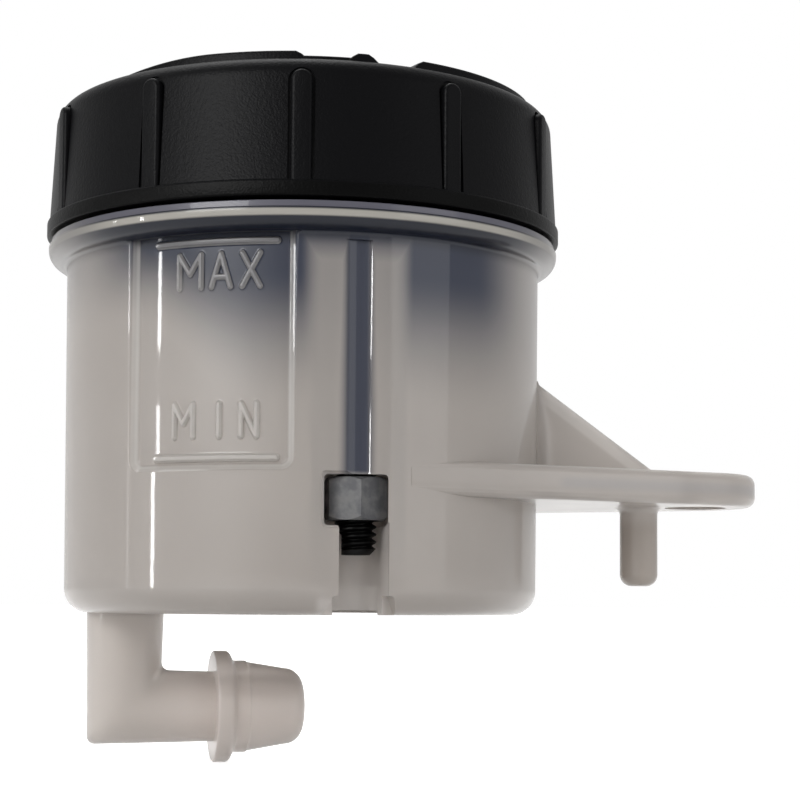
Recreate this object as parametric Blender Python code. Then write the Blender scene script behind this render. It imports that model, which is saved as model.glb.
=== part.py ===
"""Brake fluid reservoir: a translucent cup with a bracket, an elbow outlet and a screw cap.

The world origin is the centre of the bracket's bolt hole, on the plate's underside.
+Z is up along the cup's axis, +X runs from the cup out along the bracket, -Y is the front.
Everything is modelled about the foot of the cup's axis and carried there by one empty.
An azimuth is measured from the front towards +X, seen from above.
"""

import math

import bmesh
import bpy
from mathutils import Matrix, Vector

MM = 0.001
WELD = 1e-7

# Facets
ROUND = 64
SMALL_ROUND = 24
ARC_STEPS = 4
WRAP_STEP = 1.6 * MM
FACET_OFFSET = math.radians(3.7)

# Clearances
SEAT_GAP = 0.3 * MM
SCREW_GAP = 0.2 * MM
SINK = 0.4 * MM
OVERCUT = 1.0 * MM

# Cup
CUP_RADIUS = 24.4 * MM
CUP_DRAFT = 0.2 * MM
CUP_HEIGHT = 35.4 * MM
FOOT_FILLET = 2.5 * MM
FOOT_WIDTH = 1.1 * MM
FOOT_DEPTH = 0.45 * MM
FLOOR_THICKNESS = 2.3 * MM
FLOOR_FILLET = 2.0 * MM

# Flange under the cap
FLANGE_OVERHANG = 1.9 * MM
FLANGE_ROLL = 1.5 * MM
FLANGE_FACE = 0.35 * MM
FLANGE_STEP = 0.25 * MM
FLANGE_LIP = 0.35 * MM

# Neck and its thread
NECK_INSET = 1.4 * MM
NECK_WALL = 1.1 * MM
NECK_HEIGHT = 9.6 * MM
NECK_CHAMFER = 0.4 * MM
PITCH = 3.0 * MM
THREAD_DEPTH = 1.15 * MM
THREAD_ROOT = 1.3 * MM
THREAD_CREST = 0.6 * MM
THREAD_CLEARANCE = 0.3 * MM
THREAD_START = 2.0 * MM
NECK_TURNS = 1.75
CAP_TURNS = 1.5
THREAD_RUN_OUT = 0.08
THREAD_STEPS = 32

# Boss and lock screw
BOSS_AZIMUTH = math.radians(14.1)
BOSS_RADIUS = 4.4 * MM
SCREW_INSET = 3.4 * MM
SCREW_RADIUS = 1.97 * MM
SCREW_DROP = 1.6 * MM
SCREW_FOOT = 5.6 * MM
SCREW_CHAMFER = 0.6 * MM
SCREW_SOCKET_FLATS = 2.0 * MM
SCREW_SOCKET_DEPTH = 2.5 * MM
FLUTE_AZIMUTH = math.radians(12.8)
FLUTE_RADIUS = 2.07 * MM
FLUTE_DEPTH = 0.48 * MM
FLUTE_TOP = 0.7 * MM

# Nut and its pocket
NUT_FLATS = 5.46 * MM
NUT_HEIGHT = 4.0 * MM
NUT_FOOT = 8.8 * MM
NUT_CHAMFER = 0.3 * MM
POCKET_WIDTH = 6.8 * MM
POCKET_BELOW = 0.9 * MM
SLOT_WIDTH = 4.8 * MM
NOTCH_WIDTH = 5.8 * MM
NOTCH_FLARE = 0.6 * MM
NOTCH_HEIGHT = 1.8 * MM
NOTCH_INSET = 2.6 * MM

# Level window
WINDOW_AZIMUTH = math.radians(-21.7)
WINDOW_WIDTH = 17.7 * MM
WINDOW_SILL = 13.0 * MM
WINDOW_DEPTH = 0.8 * MM
WINDOW_BORDER = 0.85 * MM
WINDOW_CORNER = 1.5 * MM
BAR_AZIMUTH = math.radians(-20.2)
BAR_LENGTH = 13.3 * MM
BAR_WIDTH = 0.88 * MM
BAR_RISE = 0.45 * MM
BAR_DRAFT = 0.12 * MM
MAX_DROP = 0.85 * MM
MIN_RISE = 1.45 * MM

# Bracket
ARM_REACH = 41.2 * MM
ARM_END_RADIUS = 7.5 * MM
ARM_END_OFFSET = 1.4 * MM
SEAT_HEIGHT = 11.25 * MM
PLATE_THICKNESS = 3.35 * MM
PLATE_EDGE = 0.8 * MM
BOLT_RADIUS = 3.2 * MM
PIN_RADIUS = 1.95 * MM
PIN_SETBACK = 6.0 * MM
PIN_LENGTH = 8.2 * MM
PIN_TIP = 0.9 * MM
PIN_FILLET = 0.8 * MM
GUSSET_THICKNESS = 3.0 * MM
GUSSET_RISE = 9.7 * MM
GUSSET_REACH = 13.0 * MM
GUSSET_EDGE = 0.5 * MM
GUSSET_FILLET = 1.4 * MM
GUSSET_TOE_FILLET = 0.8 * MM
GUSSET_ROOT = 1.2 * MM
GUSSET_DIP = 0.05 * MM

# Elbow outlet
TUBE_INSET = 6.35 * MM
TUBE_RADIUS = 3.95 * MM
TUBE_DRAFT = 0.18 * MM
ELBOW_DROP = 9.65 * MM
ELBOW_YAW = math.radians(10.0)
ELBOW_EDGE = 0.8 * MM
BORE_RADIUS = 2.35 * MM
ARM_LENGTH = 9.05 * MM
COLLAR_RADIUS = 5.75 * MM
COLLAR_WIDTH = 1.55 * MM
COLLAR_TAPER = 0.55 * MM
SPIGOT_RADIUS = 4.6 * MM
SPIGOT_LENGTH = 7.4 * MM
SPIGOT_LAND = 1.7 * MM
SPIGOT_TAPER = 0.65 * MM
SPIGOT_NOSE = 1.1 * MM

# Diaphragm and slip ring
RUBBER = 0.9 * MM
FLANGE_RUBBER = 1.2 * MM
BELLOWS_CLEARANCE = 0.45 * MM
BELLOWS_FOLD = 2.4 * MM
BELLOWS_PITCH = 4.2 * MM
BELLOWS_FOLDS = 5
BELLOWS_BUTTON = 5.4 * MM
SLIP_RING_THICKNESS = 0.8 * MM
SLIP_RING_HOLE = 13.0 * MM

# Cap
CAP_WALL = 1.25 * MM
CAP_DRAFT = 0.55 * MM
CAP_TOP = 1.4 * MM
CAP_CROWN = 1.3 * MM
BAND_STEP = 0.25 * MM
BAND_HEIGHT = 1.8 * MM
BAND_CHAMFER = 0.2 * MM
RIB_COUNT = 11
RIB_WIDTH = 2.46 * MM
RIB_RISE = 0.65 * MM
RIB_TOP = 1.4 * MM
RIB_EDGE = 0.35 * MM
RIB_START = math.radians(-0.5)
LAND_HEIGHT = 0.65 * MM
LAND_INNER = 19.4 * MM
LAND_MARGIN = 0.5 * MM
LAND_EDGE = 0.2 * MM
LAND_ARCS = ((-60.0, 2.0), (10.0, 21.0), (33.0, 75.0), (95.0, 165.0), (195.0, 265.0))
LAND_STEP = math.radians(5.0)

# Places worked out from the sizes above
FLANGE_TOP = CUP_HEIGHT + FLANGE_ROLL + FLANGE_FACE + FLANGE_LIP
NECK_RADIUS = CUP_RADIUS - NECK_INSET
NECK_TOP = FLANGE_TOP + NECK_HEIGHT
SCREW_TOP = NECK_TOP - SCREW_DROP
CAVITY_RADIUS = NECK_RADIUS - NECK_WALL
FLOOR_TOP = FOOT_DEPTH + FLOOR_THICKNESS
SCREW_RUN = CUP_RADIUS - SCREW_INSET
SCREW_BORE = SCREW_RADIUS + SCREW_GAP
POCKET_ROOF = NUT_FOOT + NUT_HEIGHT + SEAT_GAP
POCKET_FLOOR = NUT_FOOT - POCKET_BELOW
ARM_END = ARM_REACH - ARM_END_OFFSET
PLATE_TOP = SEAT_HEIGHT + PLATE_THICKNESS
TUBE_X = -(CUP_RADIUS - TUBE_INSET)
MAX_LEVEL = CUP_HEIGHT - MAX_DROP
MIN_LEVEL = WINDOW_SILL + MIN_RISE
FLANGE_FOOT = NECK_TOP + SEAT_GAP
RING_FOOT = FLANGE_FOOT + FLANGE_RUBBER + SEAT_GAP
CAP_CEILING = RING_FOOT + SLIP_RING_THICKNESS + SEAT_GAP
CAP_HEIGHT = CAP_CEILING + CAP_TOP
CAP_FOOT = FLANGE_TOP + SEAT_GAP
CAP_BORE = NECK_RADIUS + THREAD_DEPTH + THREAD_CLEARANCE
CAP_RADIUS = CAP_BORE + CAP_WALL
BAND_TOP = CAP_FOOT + BAND_HEIGHT
BAND_RADIUS = CAP_RADIUS + CAP_DRAFT + BAND_STEP


def clear_scene():
    for item in list(bpy.data.objects):
        bpy.data.objects.remove(item, do_unlink=True)


def finish_surface(name, colour, roughness, metallic=0.0, transmission=0.0):
    material = bpy.data.materials.new(name)
    material.use_nodes = True
    shader = material.node_tree.nodes["Principled BSDF"]
    shader.inputs["Base Color"].default_value = (*colour, 1.0)
    shader.inputs["Roughness"].default_value = roughness
    shader.inputs["Metallic"].default_value = metallic
    shader.inputs["Transmission Weight"].default_value = transmission
    return material


def place(name, bm, origin, azimuth=0.0, material=None):
    """Turn a bmesh into an object carried by the origin empty, smooth where it is round."""
    bmesh.ops.recalc_face_normals(bm, faces=bm.faces)
    if bm.calc_volume(signed=True) < 0.0:
        bmesh.ops.reverse_faces(bm, faces=bm.faces)
    mesh = bpy.data.meshes.new(name)
    bm.to_mesh(mesh)
    bm.free()
    mesh.shade_smooth()
    mesh.set_sharp_from_angle(angle=math.radians(35.0))
    item = bpy.data.objects.new(name, mesh)
    bpy.context.collection.objects.link(item)
    item.parent = origin
    item.rotation_euler.z = azimuth
    if material is None:
        item.hide_render = True
        item.display_type = "WIRE"
    else:
        mesh.materials.append(material)
    return item


def combine(target, tool, operation):
    step = target.modifiers.new(f"{operation.lower()} {tool.name}", "BOOLEAN")
    step.operation = operation
    step.solver = "EXACT"
    step.object = tool


def arc(centre, radius, start, end, steps=ARC_STEPS):
    """Points along an arc; the angles are in degrees, from the first axis."""
    points = []
    for step in range(steps + 1):
        angle = math.radians(start + (end - start) * step / steps)
        points.append((centre[0] + radius * math.cos(angle), centre[1] + radius * math.sin(angle)))
    return points


def rounded(corners):
    """A closed outline of (x, y, radius) corners, each turned into an arc of its radius."""
    points = []
    for number, (x, y, radius) in enumerate(corners):
        if radius == 0.0:
            points.append((x, y))
            continue
        here = Vector((x, y))
        before = (Vector(corners[number - 1][:2]) - here).normalized()
        after = (Vector(corners[(number + 1) % len(corners)][:2]) - here).normalized()
        half = before.angle(after) / 2
        centre = here + (before + after).normalized() * radius / math.sin(half)
        start = here + before * radius / math.tan(half) - centre
        turn = start.angle_signed(here + after * radius / math.tan(half) - centre)
        for step in range(ARC_STEPS + 1):
            points.append(tuple(centre + Matrix.Rotation(-turn * step / ARC_STEPS, 2) @ start))
    return points


def out_at(azimuth, distance):
    return Vector((distance * math.sin(azimuth), -distance * math.cos(azimuth), 0.0))


def turned(profile, segments=ROUND, ring=False):
    """A profile of (radius, height) points spun about Z; a ring's profile closes on itself."""
    bm = bmesh.new()
    points = [bm.verts.new((radius, 0.0, height)) for radius, height in profile]
    edges = [bm.edges.new(pair) for pair in zip(points, points[1:])]
    if ring:
        edges.append(bm.edges.new((points[-1], points[0])))
    bmesh.ops.spin(
        bm, geom=points + edges, cent=(0, 0, 0), axis=(0, 0, 1), angle=math.tau, steps=segments, use_merge=True
    )
    bmesh.ops.remove_doubles(bm, verts=bm.verts, dist=WELD)
    return bm


def extruded(outline, low, high, edge=0.0, both=True):
    """An outline of (x, y) points raised from low to high, its rims rounded by edge."""
    bm = bmesh.new()
    face = bm.faces.new([bm.verts.new((x, y, low)) for x, y in outline])
    raised = bmesh.ops.extrude_face_region(bm, geom=[face])["geom"]
    corners = [item for item in raised if isinstance(item, bmesh.types.BMVert)]
    bmesh.ops.translate(bm, verts=corners, vec=(0, 0, high - low))
    if edge:
        heights = (low, high) if both else (high,)
        rims = [
            rim
            for rim in bm.edges
            if any(all(abs(corner.co.z - height) < WELD for corner in rim.verts) for height in heights)
        ]
        bmesh.ops.bevel(bm, geom=rims, offset=edge, segments=2, profile=0.5, affect="EDGES")
    return bm


def move(bm, offset):
    bmesh.ops.translate(bm, verts=bm.verts, vec=offset)
    return bm


def stand_across(bm):
    """Turn an outline drawn in X and Z, and extruded, so that its thickness runs along Y."""
    bmesh.ops.rotate(bm, verts=bm.verts, cent=(0, 0, 0), matrix=Matrix.Rotation(math.radians(90.0), 3, "X"))
    return bm


def round_bar(radius, low, high, segments=SMALL_ROUND):
    return turned([(0.0, low), (radius, low), (radius, high), (0.0, high)], segments)


def hex_corner(across_flats):
    return across_flats / 2 / math.cos(math.pi / 6)


def hex_bar(across_flats, low, high):
    """A hexagonal prism with one corner towards the front."""
    corner = hex_corner(across_flats)
    outline = [(corner * math.sin(math.tau * k / 6), -corner * math.cos(math.tau * k / 6)) for k in range(6)]
    return extruded(outline, low, high)


def wrapped(levels, azimuth, reference):
    """Loft outlines of (arc length, height), each at its own radius, and wrap them round the cup."""
    bm = bmesh.new()
    loops = [[bm.verts.new((along, radius, height)) for along, height in outline] for radius, outline in levels]
    for lower, upper in zip(loops, loops[1:]):
        for here in range(len(lower)):
            there = (here + 1) % len(lower)
            bm.faces.new((lower[here], lower[there], upper[there], upper[here]))
    bm.faces.new(loops[0])
    bm.faces.new(loops[-1])
    reach = max(abs(vert.co.x) for vert in bm.verts)
    cuts = int(reach / WRAP_STEP)
    for cut in range(-cuts, cuts + 1):
        everything = bm.verts[:] + bm.edges[:] + bm.faces[:]
        bmesh.ops.bisect_plane(
            bm, geom=everything, dist=WELD, plane_co=(cut * WRAP_STEP, 0, 0), plane_no=(1, 0, 0)
        )
    for vert in bm.verts:
        along, radius, height = vert.co
        vert.co = out_at(azimuth + along / reference, radius) + Vector((0.0, 0.0, height))
    return bm


def window_outline(grow):
    """The level window's outline: square at the top, rounded at the sill."""
    half = WINDOW_WIDTH / 2 + grow
    sill = WINDOW_SILL - grow
    corner = WINDOW_CORNER + grow
    return (
        [(half, CUP_HEIGHT)]
        + [(-half, CUP_HEIGHT)]
        + arc((-half + corner, sill + corner), corner, 180.0, 270.0)
        + arc((half - corner, sill + corner), corner, 270.0, 360.0)
    )


def bar_outline(level, shrink):
    """A round-ended bar across the window."""
    end = BAR_WIDTH / 2 - shrink
    half = BAR_LENGTH / 2 - BAR_WIDTH / 2
    return arc((half, level), end, -90.0, 90.0) + arc((-half, level), end, 90.0, 270.0)


def helix_ridge(wall, crest, foot, turns):
    """A right-handed thread ridge on a wall, fading into it at both ends."""
    bm = bmesh.new()
    outward = math.copysign(1.0, crest - wall)
    base = wall - outward * SINK
    steps = round(turns * THREAD_STEPS)
    loops = []
    for step in range(steps + 1):
        turn = step / THREAD_STEPS
        fade = min(1.0, turn / THREAD_RUN_OUT, (turns - turn) / THREAD_RUN_OUT)
        tip = wall - outward * SINK / 2 + (crest - wall + outward * SINK / 2) * max(0.0, fade)
        rise = foot + PITCH * turn
        angle = FACET_OFFSET + math.tau * turn
        section = (
            (base, rise - THREAD_ROOT / 2),
            (base, rise + THREAD_ROOT / 2),
            (tip, rise + THREAD_CREST / 2),
            (tip, rise - THREAD_CREST / 2),
        )
        loops.append(
            [bm.verts.new((radius * math.cos(angle), radius * math.sin(angle), z)) for radius, z in section]
        )
    for lower, upper in zip(loops, loops[1:]):
        for here in range(4):
            there = (here + 1) % 4
            bm.faces.new((lower[here], lower[there], upper[there], upper[here]))
    bm.faces.new(loops[0])
    bm.faces.new(loops[-1])
    return bm


def mitred_pipe(start, corner, end, radii, edge=0.0, segments=SMALL_ROUND):
    """A round pipe with one square corner, its two legs meeting on the mitre plane."""
    first = (corner - start).normalized()
    second = (end - corner).normalized()
    side = first.cross(second)
    rings = []
    across = ((start, second), (corner, second - first), (end, -first))
    bm = bmesh.new()
    for (centre, rise), radius in zip(across, radii):
        ring = []
        for step in range(segments):
            angle = math.tau * step / segments
            ring.append(bm.verts.new(centre + side * radius * math.cos(angle) + rise * radius * math.sin(angle)))
        rings.append(ring)
    for lower, upper in zip(rings, rings[1:]):
        for here in range(segments):
            there = (here + 1) % segments
            bm.faces.new((lower[here], lower[there], upper[there], upper[here]))
    bm.faces.new(rings[0])
    bm.faces.new(rings[-1])
    if edge:
        mitre = set(rings[1])
        seam = [rim for rim in bm.edges if mitre.issuperset(rim.verts)]
        bmesh.ops.bevel(bm, geom=seam, offset=edge, segments=2, profile=0.5, affect="EDGES")
    return bm


def cup_outside():
    """Foot, wall, flange and neck as one solid of revolution."""
    foot_radius = CUP_RADIUS - CUP_DRAFT
    foot_edge = foot_radius - FOOT_FILLET
    roll_centre = CUP_RADIUS + FLANGE_OVERHANG - FLANGE_ROLL
    flange_radius = CUP_RADIUS + FLANGE_OVERHANG
    face_top = CUP_HEIGHT + FLANGE_ROLL + FLANGE_FACE
    profile = [(0.0, FOOT_DEPTH), (foot_edge - FOOT_WIDTH, FOOT_DEPTH), (foot_edge - FOOT_WIDTH, 0.0)]
    profile += arc((foot_edge, FOOT_FILLET), FOOT_FILLET, -90.0, 0.0)
    profile += [(CUP_RADIUS, CUP_HEIGHT - FLANGE_OVERHANG + FLANGE_ROLL)]
    profile += arc((roll_centre, CUP_HEIGHT + FLANGE_ROLL), FLANGE_ROLL, -90.0, 0.0)
    profile += [(flange_radius, face_top), (flange_radius - FLANGE_STEP, face_top)]
    profile += [(flange_radius - FLANGE_STEP, FLANGE_TOP), (NECK_RADIUS, FLANGE_TOP)]
    profile += [(NECK_RADIUS, NECK_TOP - NECK_CHAMFER), (NECK_RADIUS - NECK_CHAMFER, NECK_TOP)]
    profile += [(0.0, NECK_TOP)]
    return turned(profile)


def cup_core():
    """The space inside the cup, open at the neck."""
    floor_radius = CAVITY_RADIUS - CUP_DRAFT
    profile = [(0.0, FLOOR_TOP)]
    profile += arc((floor_radius - FLOOR_FILLET, FLOOR_TOP + FLOOR_FILLET), FLOOR_FILLET, -90.0, 0.0)
    profile += [(CAVITY_RADIUS, NECK_TOP + OVERCUT), (0.0, NECK_TOP + OVERCUT)]
    return turned(profile)


def arm_outline():
    """The bracket's plan: two lines tangent to the cup and to the round end."""
    lean = math.asin((CUP_RADIUS - CUP_DRAFT - ARM_END_RADIUS) / ARM_END)
    turn = 90.0 - math.degrees(lean)
    root = CUP_RADIUS - CUP_DRAFT - SINK
    rear = (root * math.sin(lean), root * math.cos(lean))
    end = arc((ARM_END, 0.0), ARM_END_RADIUS, -turn, turn, 12)
    return [(rear[0], -rear[1])] + end + [rear] + [(0.0, 0.0)]


def gusset():
    """The web between the cup's wall and the plate, drawn in X and Z, hollow at its two ends."""
    wall = CUP_RADIUS - CUP_DRAFT
    level = PLATE_TOP - GUSSET_DIP
    top = PLATE_TOP + GUSSET_RISE
    toe = wall + GUSSET_REACH
    outline = rounded([
        (wall - GUSSET_ROOT, level - GUSSET_ROOT, 0.0),
        (toe + GUSSET_ROOT, level - GUSSET_ROOT, 0.0),
        (toe + GUSSET_ROOT, level, 0.0),
        (toe, level, GUSSET_TOE_FILLET),
        (wall, top, GUSSET_FILLET),
        (wall, top + GUSSET_ROOT, 0.0),
        (wall - GUSSET_ROOT, top + GUSSET_ROOT, 0.0),
    ])
    bm = extruded(outline, -GUSSET_THICKNESS / 2, GUSSET_THICKNESS / 2, GUSSET_EDGE)
    return stand_across(bm)


def locating_pin():
    profile = [(0.0, SEAT_HEIGHT - PIN_LENGTH)]
    profile += arc((PIN_RADIUS - PIN_TIP, SEAT_HEIGHT - PIN_LENGTH + PIN_TIP), PIN_TIP, -90.0, 0.0)
    profile += arc((PIN_RADIUS + PIN_FILLET, SEAT_HEIGHT - PIN_FILLET), PIN_FILLET, 180.0, 90.0)
    profile += [(PIN_RADIUS + PIN_FILLET, SEAT_HEIGHT + SINK), (0.0, SEAT_HEIGHT + SINK)]
    return move(turned(profile, SMALL_ROUND), (ARM_REACH - PIN_SETBACK, 0.0, 0.0))


def elbow_leg(length):
    """A point on the outlet's level leg, at a distance from its corner."""
    return elbow_corner() + Vector((math.cos(ELBOW_YAW), math.sin(ELBOW_YAW), 0.0)) * length


def elbow_corner():
    return Vector((TUBE_X, 0.0, -ELBOW_DROP))


def elbow_outside():
    top = Vector((TUBE_X, 0.0, FOOT_DEPTH + FLOOR_THICKNESS / 2))
    radii = (TUBE_RADIUS, TUBE_RADIUS - TUBE_DRAFT, TUBE_RADIUS - 2 * TUBE_DRAFT)
    return mitred_pipe(top, elbow_corner(), elbow_leg(ARM_LENGTH + COLLAR_WIDTH / 2), radii, ELBOW_EDGE)


def elbow_bore():
    top = Vector((TUBE_X, 0.0, FLOOR_TOP + FLOOR_FILLET))
    mouth = elbow_leg(ARM_LENGTH + COLLAR_WIDTH + COLLAR_TAPER + SPIGOT_LENGTH + OVERCUT)
    return mitred_pipe(top, elbow_corner(), mouth, (BORE_RADIUS, BORE_RADIUS, BORE_RADIUS))


def spigot():
    """Collar and hose spigot, turned about Z and laid along the outlet's level leg."""
    root = ARM_LENGTH + COLLAR_WIDTH + COLLAR_TAPER
    tip = root + SPIGOT_LENGTH
    nose = SPIGOT_RADIUS - SPIGOT_TAPER - SPIGOT_NOSE
    profile = [(0.0, ARM_LENGTH), (COLLAR_RADIUS, ARM_LENGTH), (COLLAR_RADIUS, ARM_LENGTH + COLLAR_WIDTH)]
    profile += [(SPIGOT_RADIUS, root), (SPIGOT_RADIUS, root + SPIGOT_LAND)]
    profile += arc((nose, tip - SPIGOT_NOSE), SPIGOT_NOSE, 0.0, 90.0)
    profile += [(0.0, tip)]
    bm = turned(profile, 32)
    lay = Matrix.Rotation(ELBOW_YAW, 3, "Z") @ Matrix.Rotation(math.radians(90.0), 3, "Y")
    lay = lay @ Matrix.Rotation(FACET_OFFSET, 3, "Z")
    bmesh.ops.rotate(bm, verts=bm.verts, cent=(0, 0, 0), matrix=lay)
    return move(bm, elbow_corner())


def flute():
    """The shallow upright groove in front of the lock screw."""
    centre = out_at(FLUTE_AZIMUTH, CUP_RADIUS - FLUTE_DEPTH + FLUTE_RADIUS)
    return move(round_bar(FLUTE_RADIUS, POCKET_ROOF - SEAT_GAP, CUP_HEIGHT - FLUTE_TOP, 32), centre)


def nut_pocket():
    """The pocket's mouth, square to the front, ahead of the hexagonal seat."""
    axis = out_at(BOSS_AZIMUTH, SCREW_RUN)
    half = POCKET_WIDTH / 2
    front = -(CUP_RADIUS + OVERCUT)
    outline = [(axis.x - half, front), (axis.x + half, front), (axis.x + half, axis.y), (axis.x - half, axis.y)]
    return extruded(outline, POCKET_FLOOR, POCKET_ROOF)


def screw_slot():
    """The open channel from the pocket down to the foot, round behind the screw."""
    half = SLOT_WIDTH / 2
    outline = arc((0.0, -SCREW_RUN), half, 0.0, 180.0, 8)
    outline += [(-half, -CUP_RADIUS - OVERCUT), (half, -CUP_RADIUS - OVERCUT)]
    return extruded(outline, -OVERCUT, POCKET_FLOOR + SEAT_GAP)


def foot_notch():
    """The flared opening of that channel in the cup's foot."""
    low = NOTCH_WIDTH / 2 + NOTCH_FLARE
    high = NOTCH_WIDTH / 2
    outline = [(-low, -OVERCUT), (low, -OVERCUT), (low, 0.0)]
    outline += [(high, NOTCH_HEIGHT), (-high, NOTCH_HEIGHT), (-low, 0.0)]
    return stand_across(extruded(outline, CUP_RADIUS - NOTCH_INSET, CUP_RADIUS + OVERCUT))


def build_body(origin, plastic):
    body = place("reservoir_body", cup_outside(), origin, 0.0, plastic)
    arm = extruded(arm_outline(), SEAT_HEIGHT, PLATE_TOP, PLATE_EDGE)
    joined = (
        ("arm", arm, 0.0),
        ("gusset", gusset(), 0.0),
        ("pin", locating_pin(), 0.0),
        ("elbow", elbow_outside(), 0.0),
        ("spigot", spigot(), 0.0),
        ("neck thread", helix_ridge(
            NECK_RADIUS, NECK_RADIUS + THREAD_DEPTH, FLANGE_TOP + THREAD_START, NECK_TURNS), 0.0),
    )
    for name, bm, azimuth in joined:
        combine(body, place(f"shape {name}", bm, origin, azimuth), "UNION")

    floor = CUP_RADIUS - WINDOW_DEPTH
    window = wrapped(
        (
            (floor, window_outline(-WINDOW_BORDER)),
            (CUP_RADIUS, window_outline(0.0)),
            (CUP_RADIUS + OVERCUT, window_outline(0.0)),
        ),
        WINDOW_AZIMUTH,
        CUP_RADIUS,
    )
    combine(body, place("cut window", window, origin), "DIFFERENCE")
    for name, level in (("max bar", MAX_LEVEL), ("min bar", MIN_LEVEL)):
        bar = wrapped(
            ((floor - SINK, bar_outline(level, 0.0)), (floor + BAR_RISE, bar_outline(level, BAR_DRAFT))),
            BAR_AZIMUTH,
            CUP_RADIUS,
        )
        combine(body, place(f"shape {name}", bar, origin), "UNION")

    core = place("cut core", cup_core(), origin)
    boss = move(round_bar(BOSS_RADIUS, 0.0, NECK_TOP + 2 * OVERCUT, 40), (0.0, -SCREW_RUN, 0.0))
    combine(core, place("shape boss", boss, origin, BOSS_AZIMUTH), "DIFFERENCE")
    bore = move(round_bar(SCREW_BORE, POCKET_FLOOR, NECK_TOP + OVERCUT), (0.0, -SCREW_RUN, 0.0))
    seat = move(hex_bar(NUT_FLATS + 2 * SEAT_GAP, POCKET_FLOOR, POCKET_ROOF), (0.0, -SCREW_RUN, 0.0))
    bolt = move(round_bar(BOLT_RADIUS, SEAT_HEIGHT - OVERCUT, PLATE_TOP + OVERCUT, 32), (ARM_REACH, 0.0, 0.0))
    removed = (
        ("screw bore", bore, BOSS_AZIMUTH),
        ("nut seat", seat, BOSS_AZIMUTH),
        ("nut pocket", nut_pocket(), 0.0),
        ("screw slot", screw_slot(), BOSS_AZIMUTH),
        ("foot notch", foot_notch(), BOSS_AZIMUTH),
        ("flute", flute(), 0.0),
        ("elbow bore", elbow_bore(), 0.0),
        ("bolt hole", bolt, 0.0),
    )
    combine(body, core, "DIFFERENCE")
    for name, bm, azimuth in removed:
        combine(body, place(f"cut {name}", bm, origin, azimuth), "DIFFERENCE")
    return body


def cap_outside():
    """Band, drafted wall and rounded crown."""
    wall_foot = CAP_RADIUS + CAP_DRAFT
    crown_centre = CAP_RADIUS - CAP_CROWN
    profile = [(0.0, CAP_FOOT), (BAND_RADIUS, CAP_FOOT), (BAND_RADIUS, BAND_TOP - BAND_CHAMFER)]
    profile += [(wall_foot, BAND_TOP)]
    profile += arc((crown_centre, CAP_HEIGHT - CAP_CROWN), CAP_CROWN, 0.0, 90.0)
    profile += [(0.0, CAP_HEIGHT)]
    return turned(profile, 6 * RIB_COUNT)


def rib():
    """One grip rib, round at its top, standing out to the band's own radius."""
    half = RIB_WIDTH / 2
    foot = BAND_TOP - 2 * BAND_CHAMFER
    outline = arc((0.0, CAP_HEIGHT - RIB_TOP - half), half, 0.0, 180.0, 6) + [(-half, foot), (half, foot)]
    bm = extruded(outline, CAP_RADIUS - 2 * SINK, CAP_RADIUS + RIB_RISE, RIB_EDGE, both=False)
    return stand_across(bm)


def land(start, end):
    """One raised arc on the cap's top."""
    outer = CAP_RADIUS - CAP_CROWN - LAND_MARGIN
    steps = max(2, round((end - start) / LAND_STEP))
    angles = [start + (end - start) * step / steps for step in range(steps + 1)]
    outline = [out_at(angle, outer).xy for angle in angles]
    outline += [out_at(angle, LAND_INNER).xy for angle in reversed(angles)]
    return extruded(outline, CAP_HEIGHT - SINK, CAP_HEIGHT + LAND_HEIGHT, LAND_EDGE, both=False)


def build_cap(origin, plastic):
    cap = place("cap", cap_outside(), origin, 0.0, plastic)
    for number in range(RIB_COUNT):
        turn = RIB_START + math.tau * number / RIB_COUNT
        combine(cap, place(f"shape rib {number}", rib(), origin, turn), "UNION")
    for number, (start, end) in enumerate(LAND_ARCS):
        raised = land(math.radians(start), math.radians(end))
        combine(cap, place(f"shape land {number}", raised, origin), "UNION")
    inside = round_bar(CAP_BORE, CAP_FOOT - OVERCUT, CAP_CEILING, ROUND)
    combine(cap, place("cut cap bore", inside, origin), "DIFFERENCE")
    ridge = helix_ridge(
        CAP_BORE, NECK_RADIUS + THREAD_CLEARANCE, FLANGE_TOP + THREAD_START + PITCH / 2, CAP_TURNS
    )
    combine(cap, place("shape cap thread", ridge, origin), "UNION")
    return cap


def build_slip_ring(origin, plastic):
    outer = CAP_BORE - SEAT_GAP
    top = RING_FOOT + SLIP_RING_THICKNESS
    profile = [(SLIP_RING_HOLE, RING_FOOT), (outer, RING_FOOT), (outer, top), (SLIP_RING_HOLE, top)]
    return place("slip_ring", turned(profile, ROUND, ring=True), origin, 0.0, plastic)


def build_diaphragm(origin, rubber):
    """Flange on the neck's rim, folded wall and a flat bottom, one wall thick throughout."""
    flange_top = FLANGE_FOOT + FLANGE_RUBBER
    crest = SCREW_RUN - BOSS_RADIUS - BELLOWS_CLEARANCE
    outside = []
    inside = []
    for half_fold in range(2 * BELLOWS_FOLDS + 1):
        height = FLANGE_FOOT - BELLOWS_PITCH * half_fold / 2
        radius = crest if half_fold % 2 == 0 else crest - BELLOWS_FOLD
        outside.append((radius, height))
        inside.append((radius - RUBBER, height))
    floor = outside[-1][1]
    inner_floor = floor + RUBBER / 2
    button = BELLOWS_BUTTON
    outside += [(crest - RUBBER, floor - RUBBER), (button, floor - RUBBER), (button - RUBBER, floor), (0.0, floor)]
    inside[-1] = (crest - RUBBER, inner_floor)
    inside += [(button, inner_floor), (button - RUBBER, inner_floor + RUBBER), (0.0, inner_floor + RUBBER)]
    profile = list(reversed(outside)) + [(NECK_RADIUS, FLANGE_FOOT), (NECK_RADIUS, flange_top)]
    profile += [(crest - RUBBER, flange_top)] + inside
    return place("diaphragm", turned(profile, 40), origin, 0.0, rubber)


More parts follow.
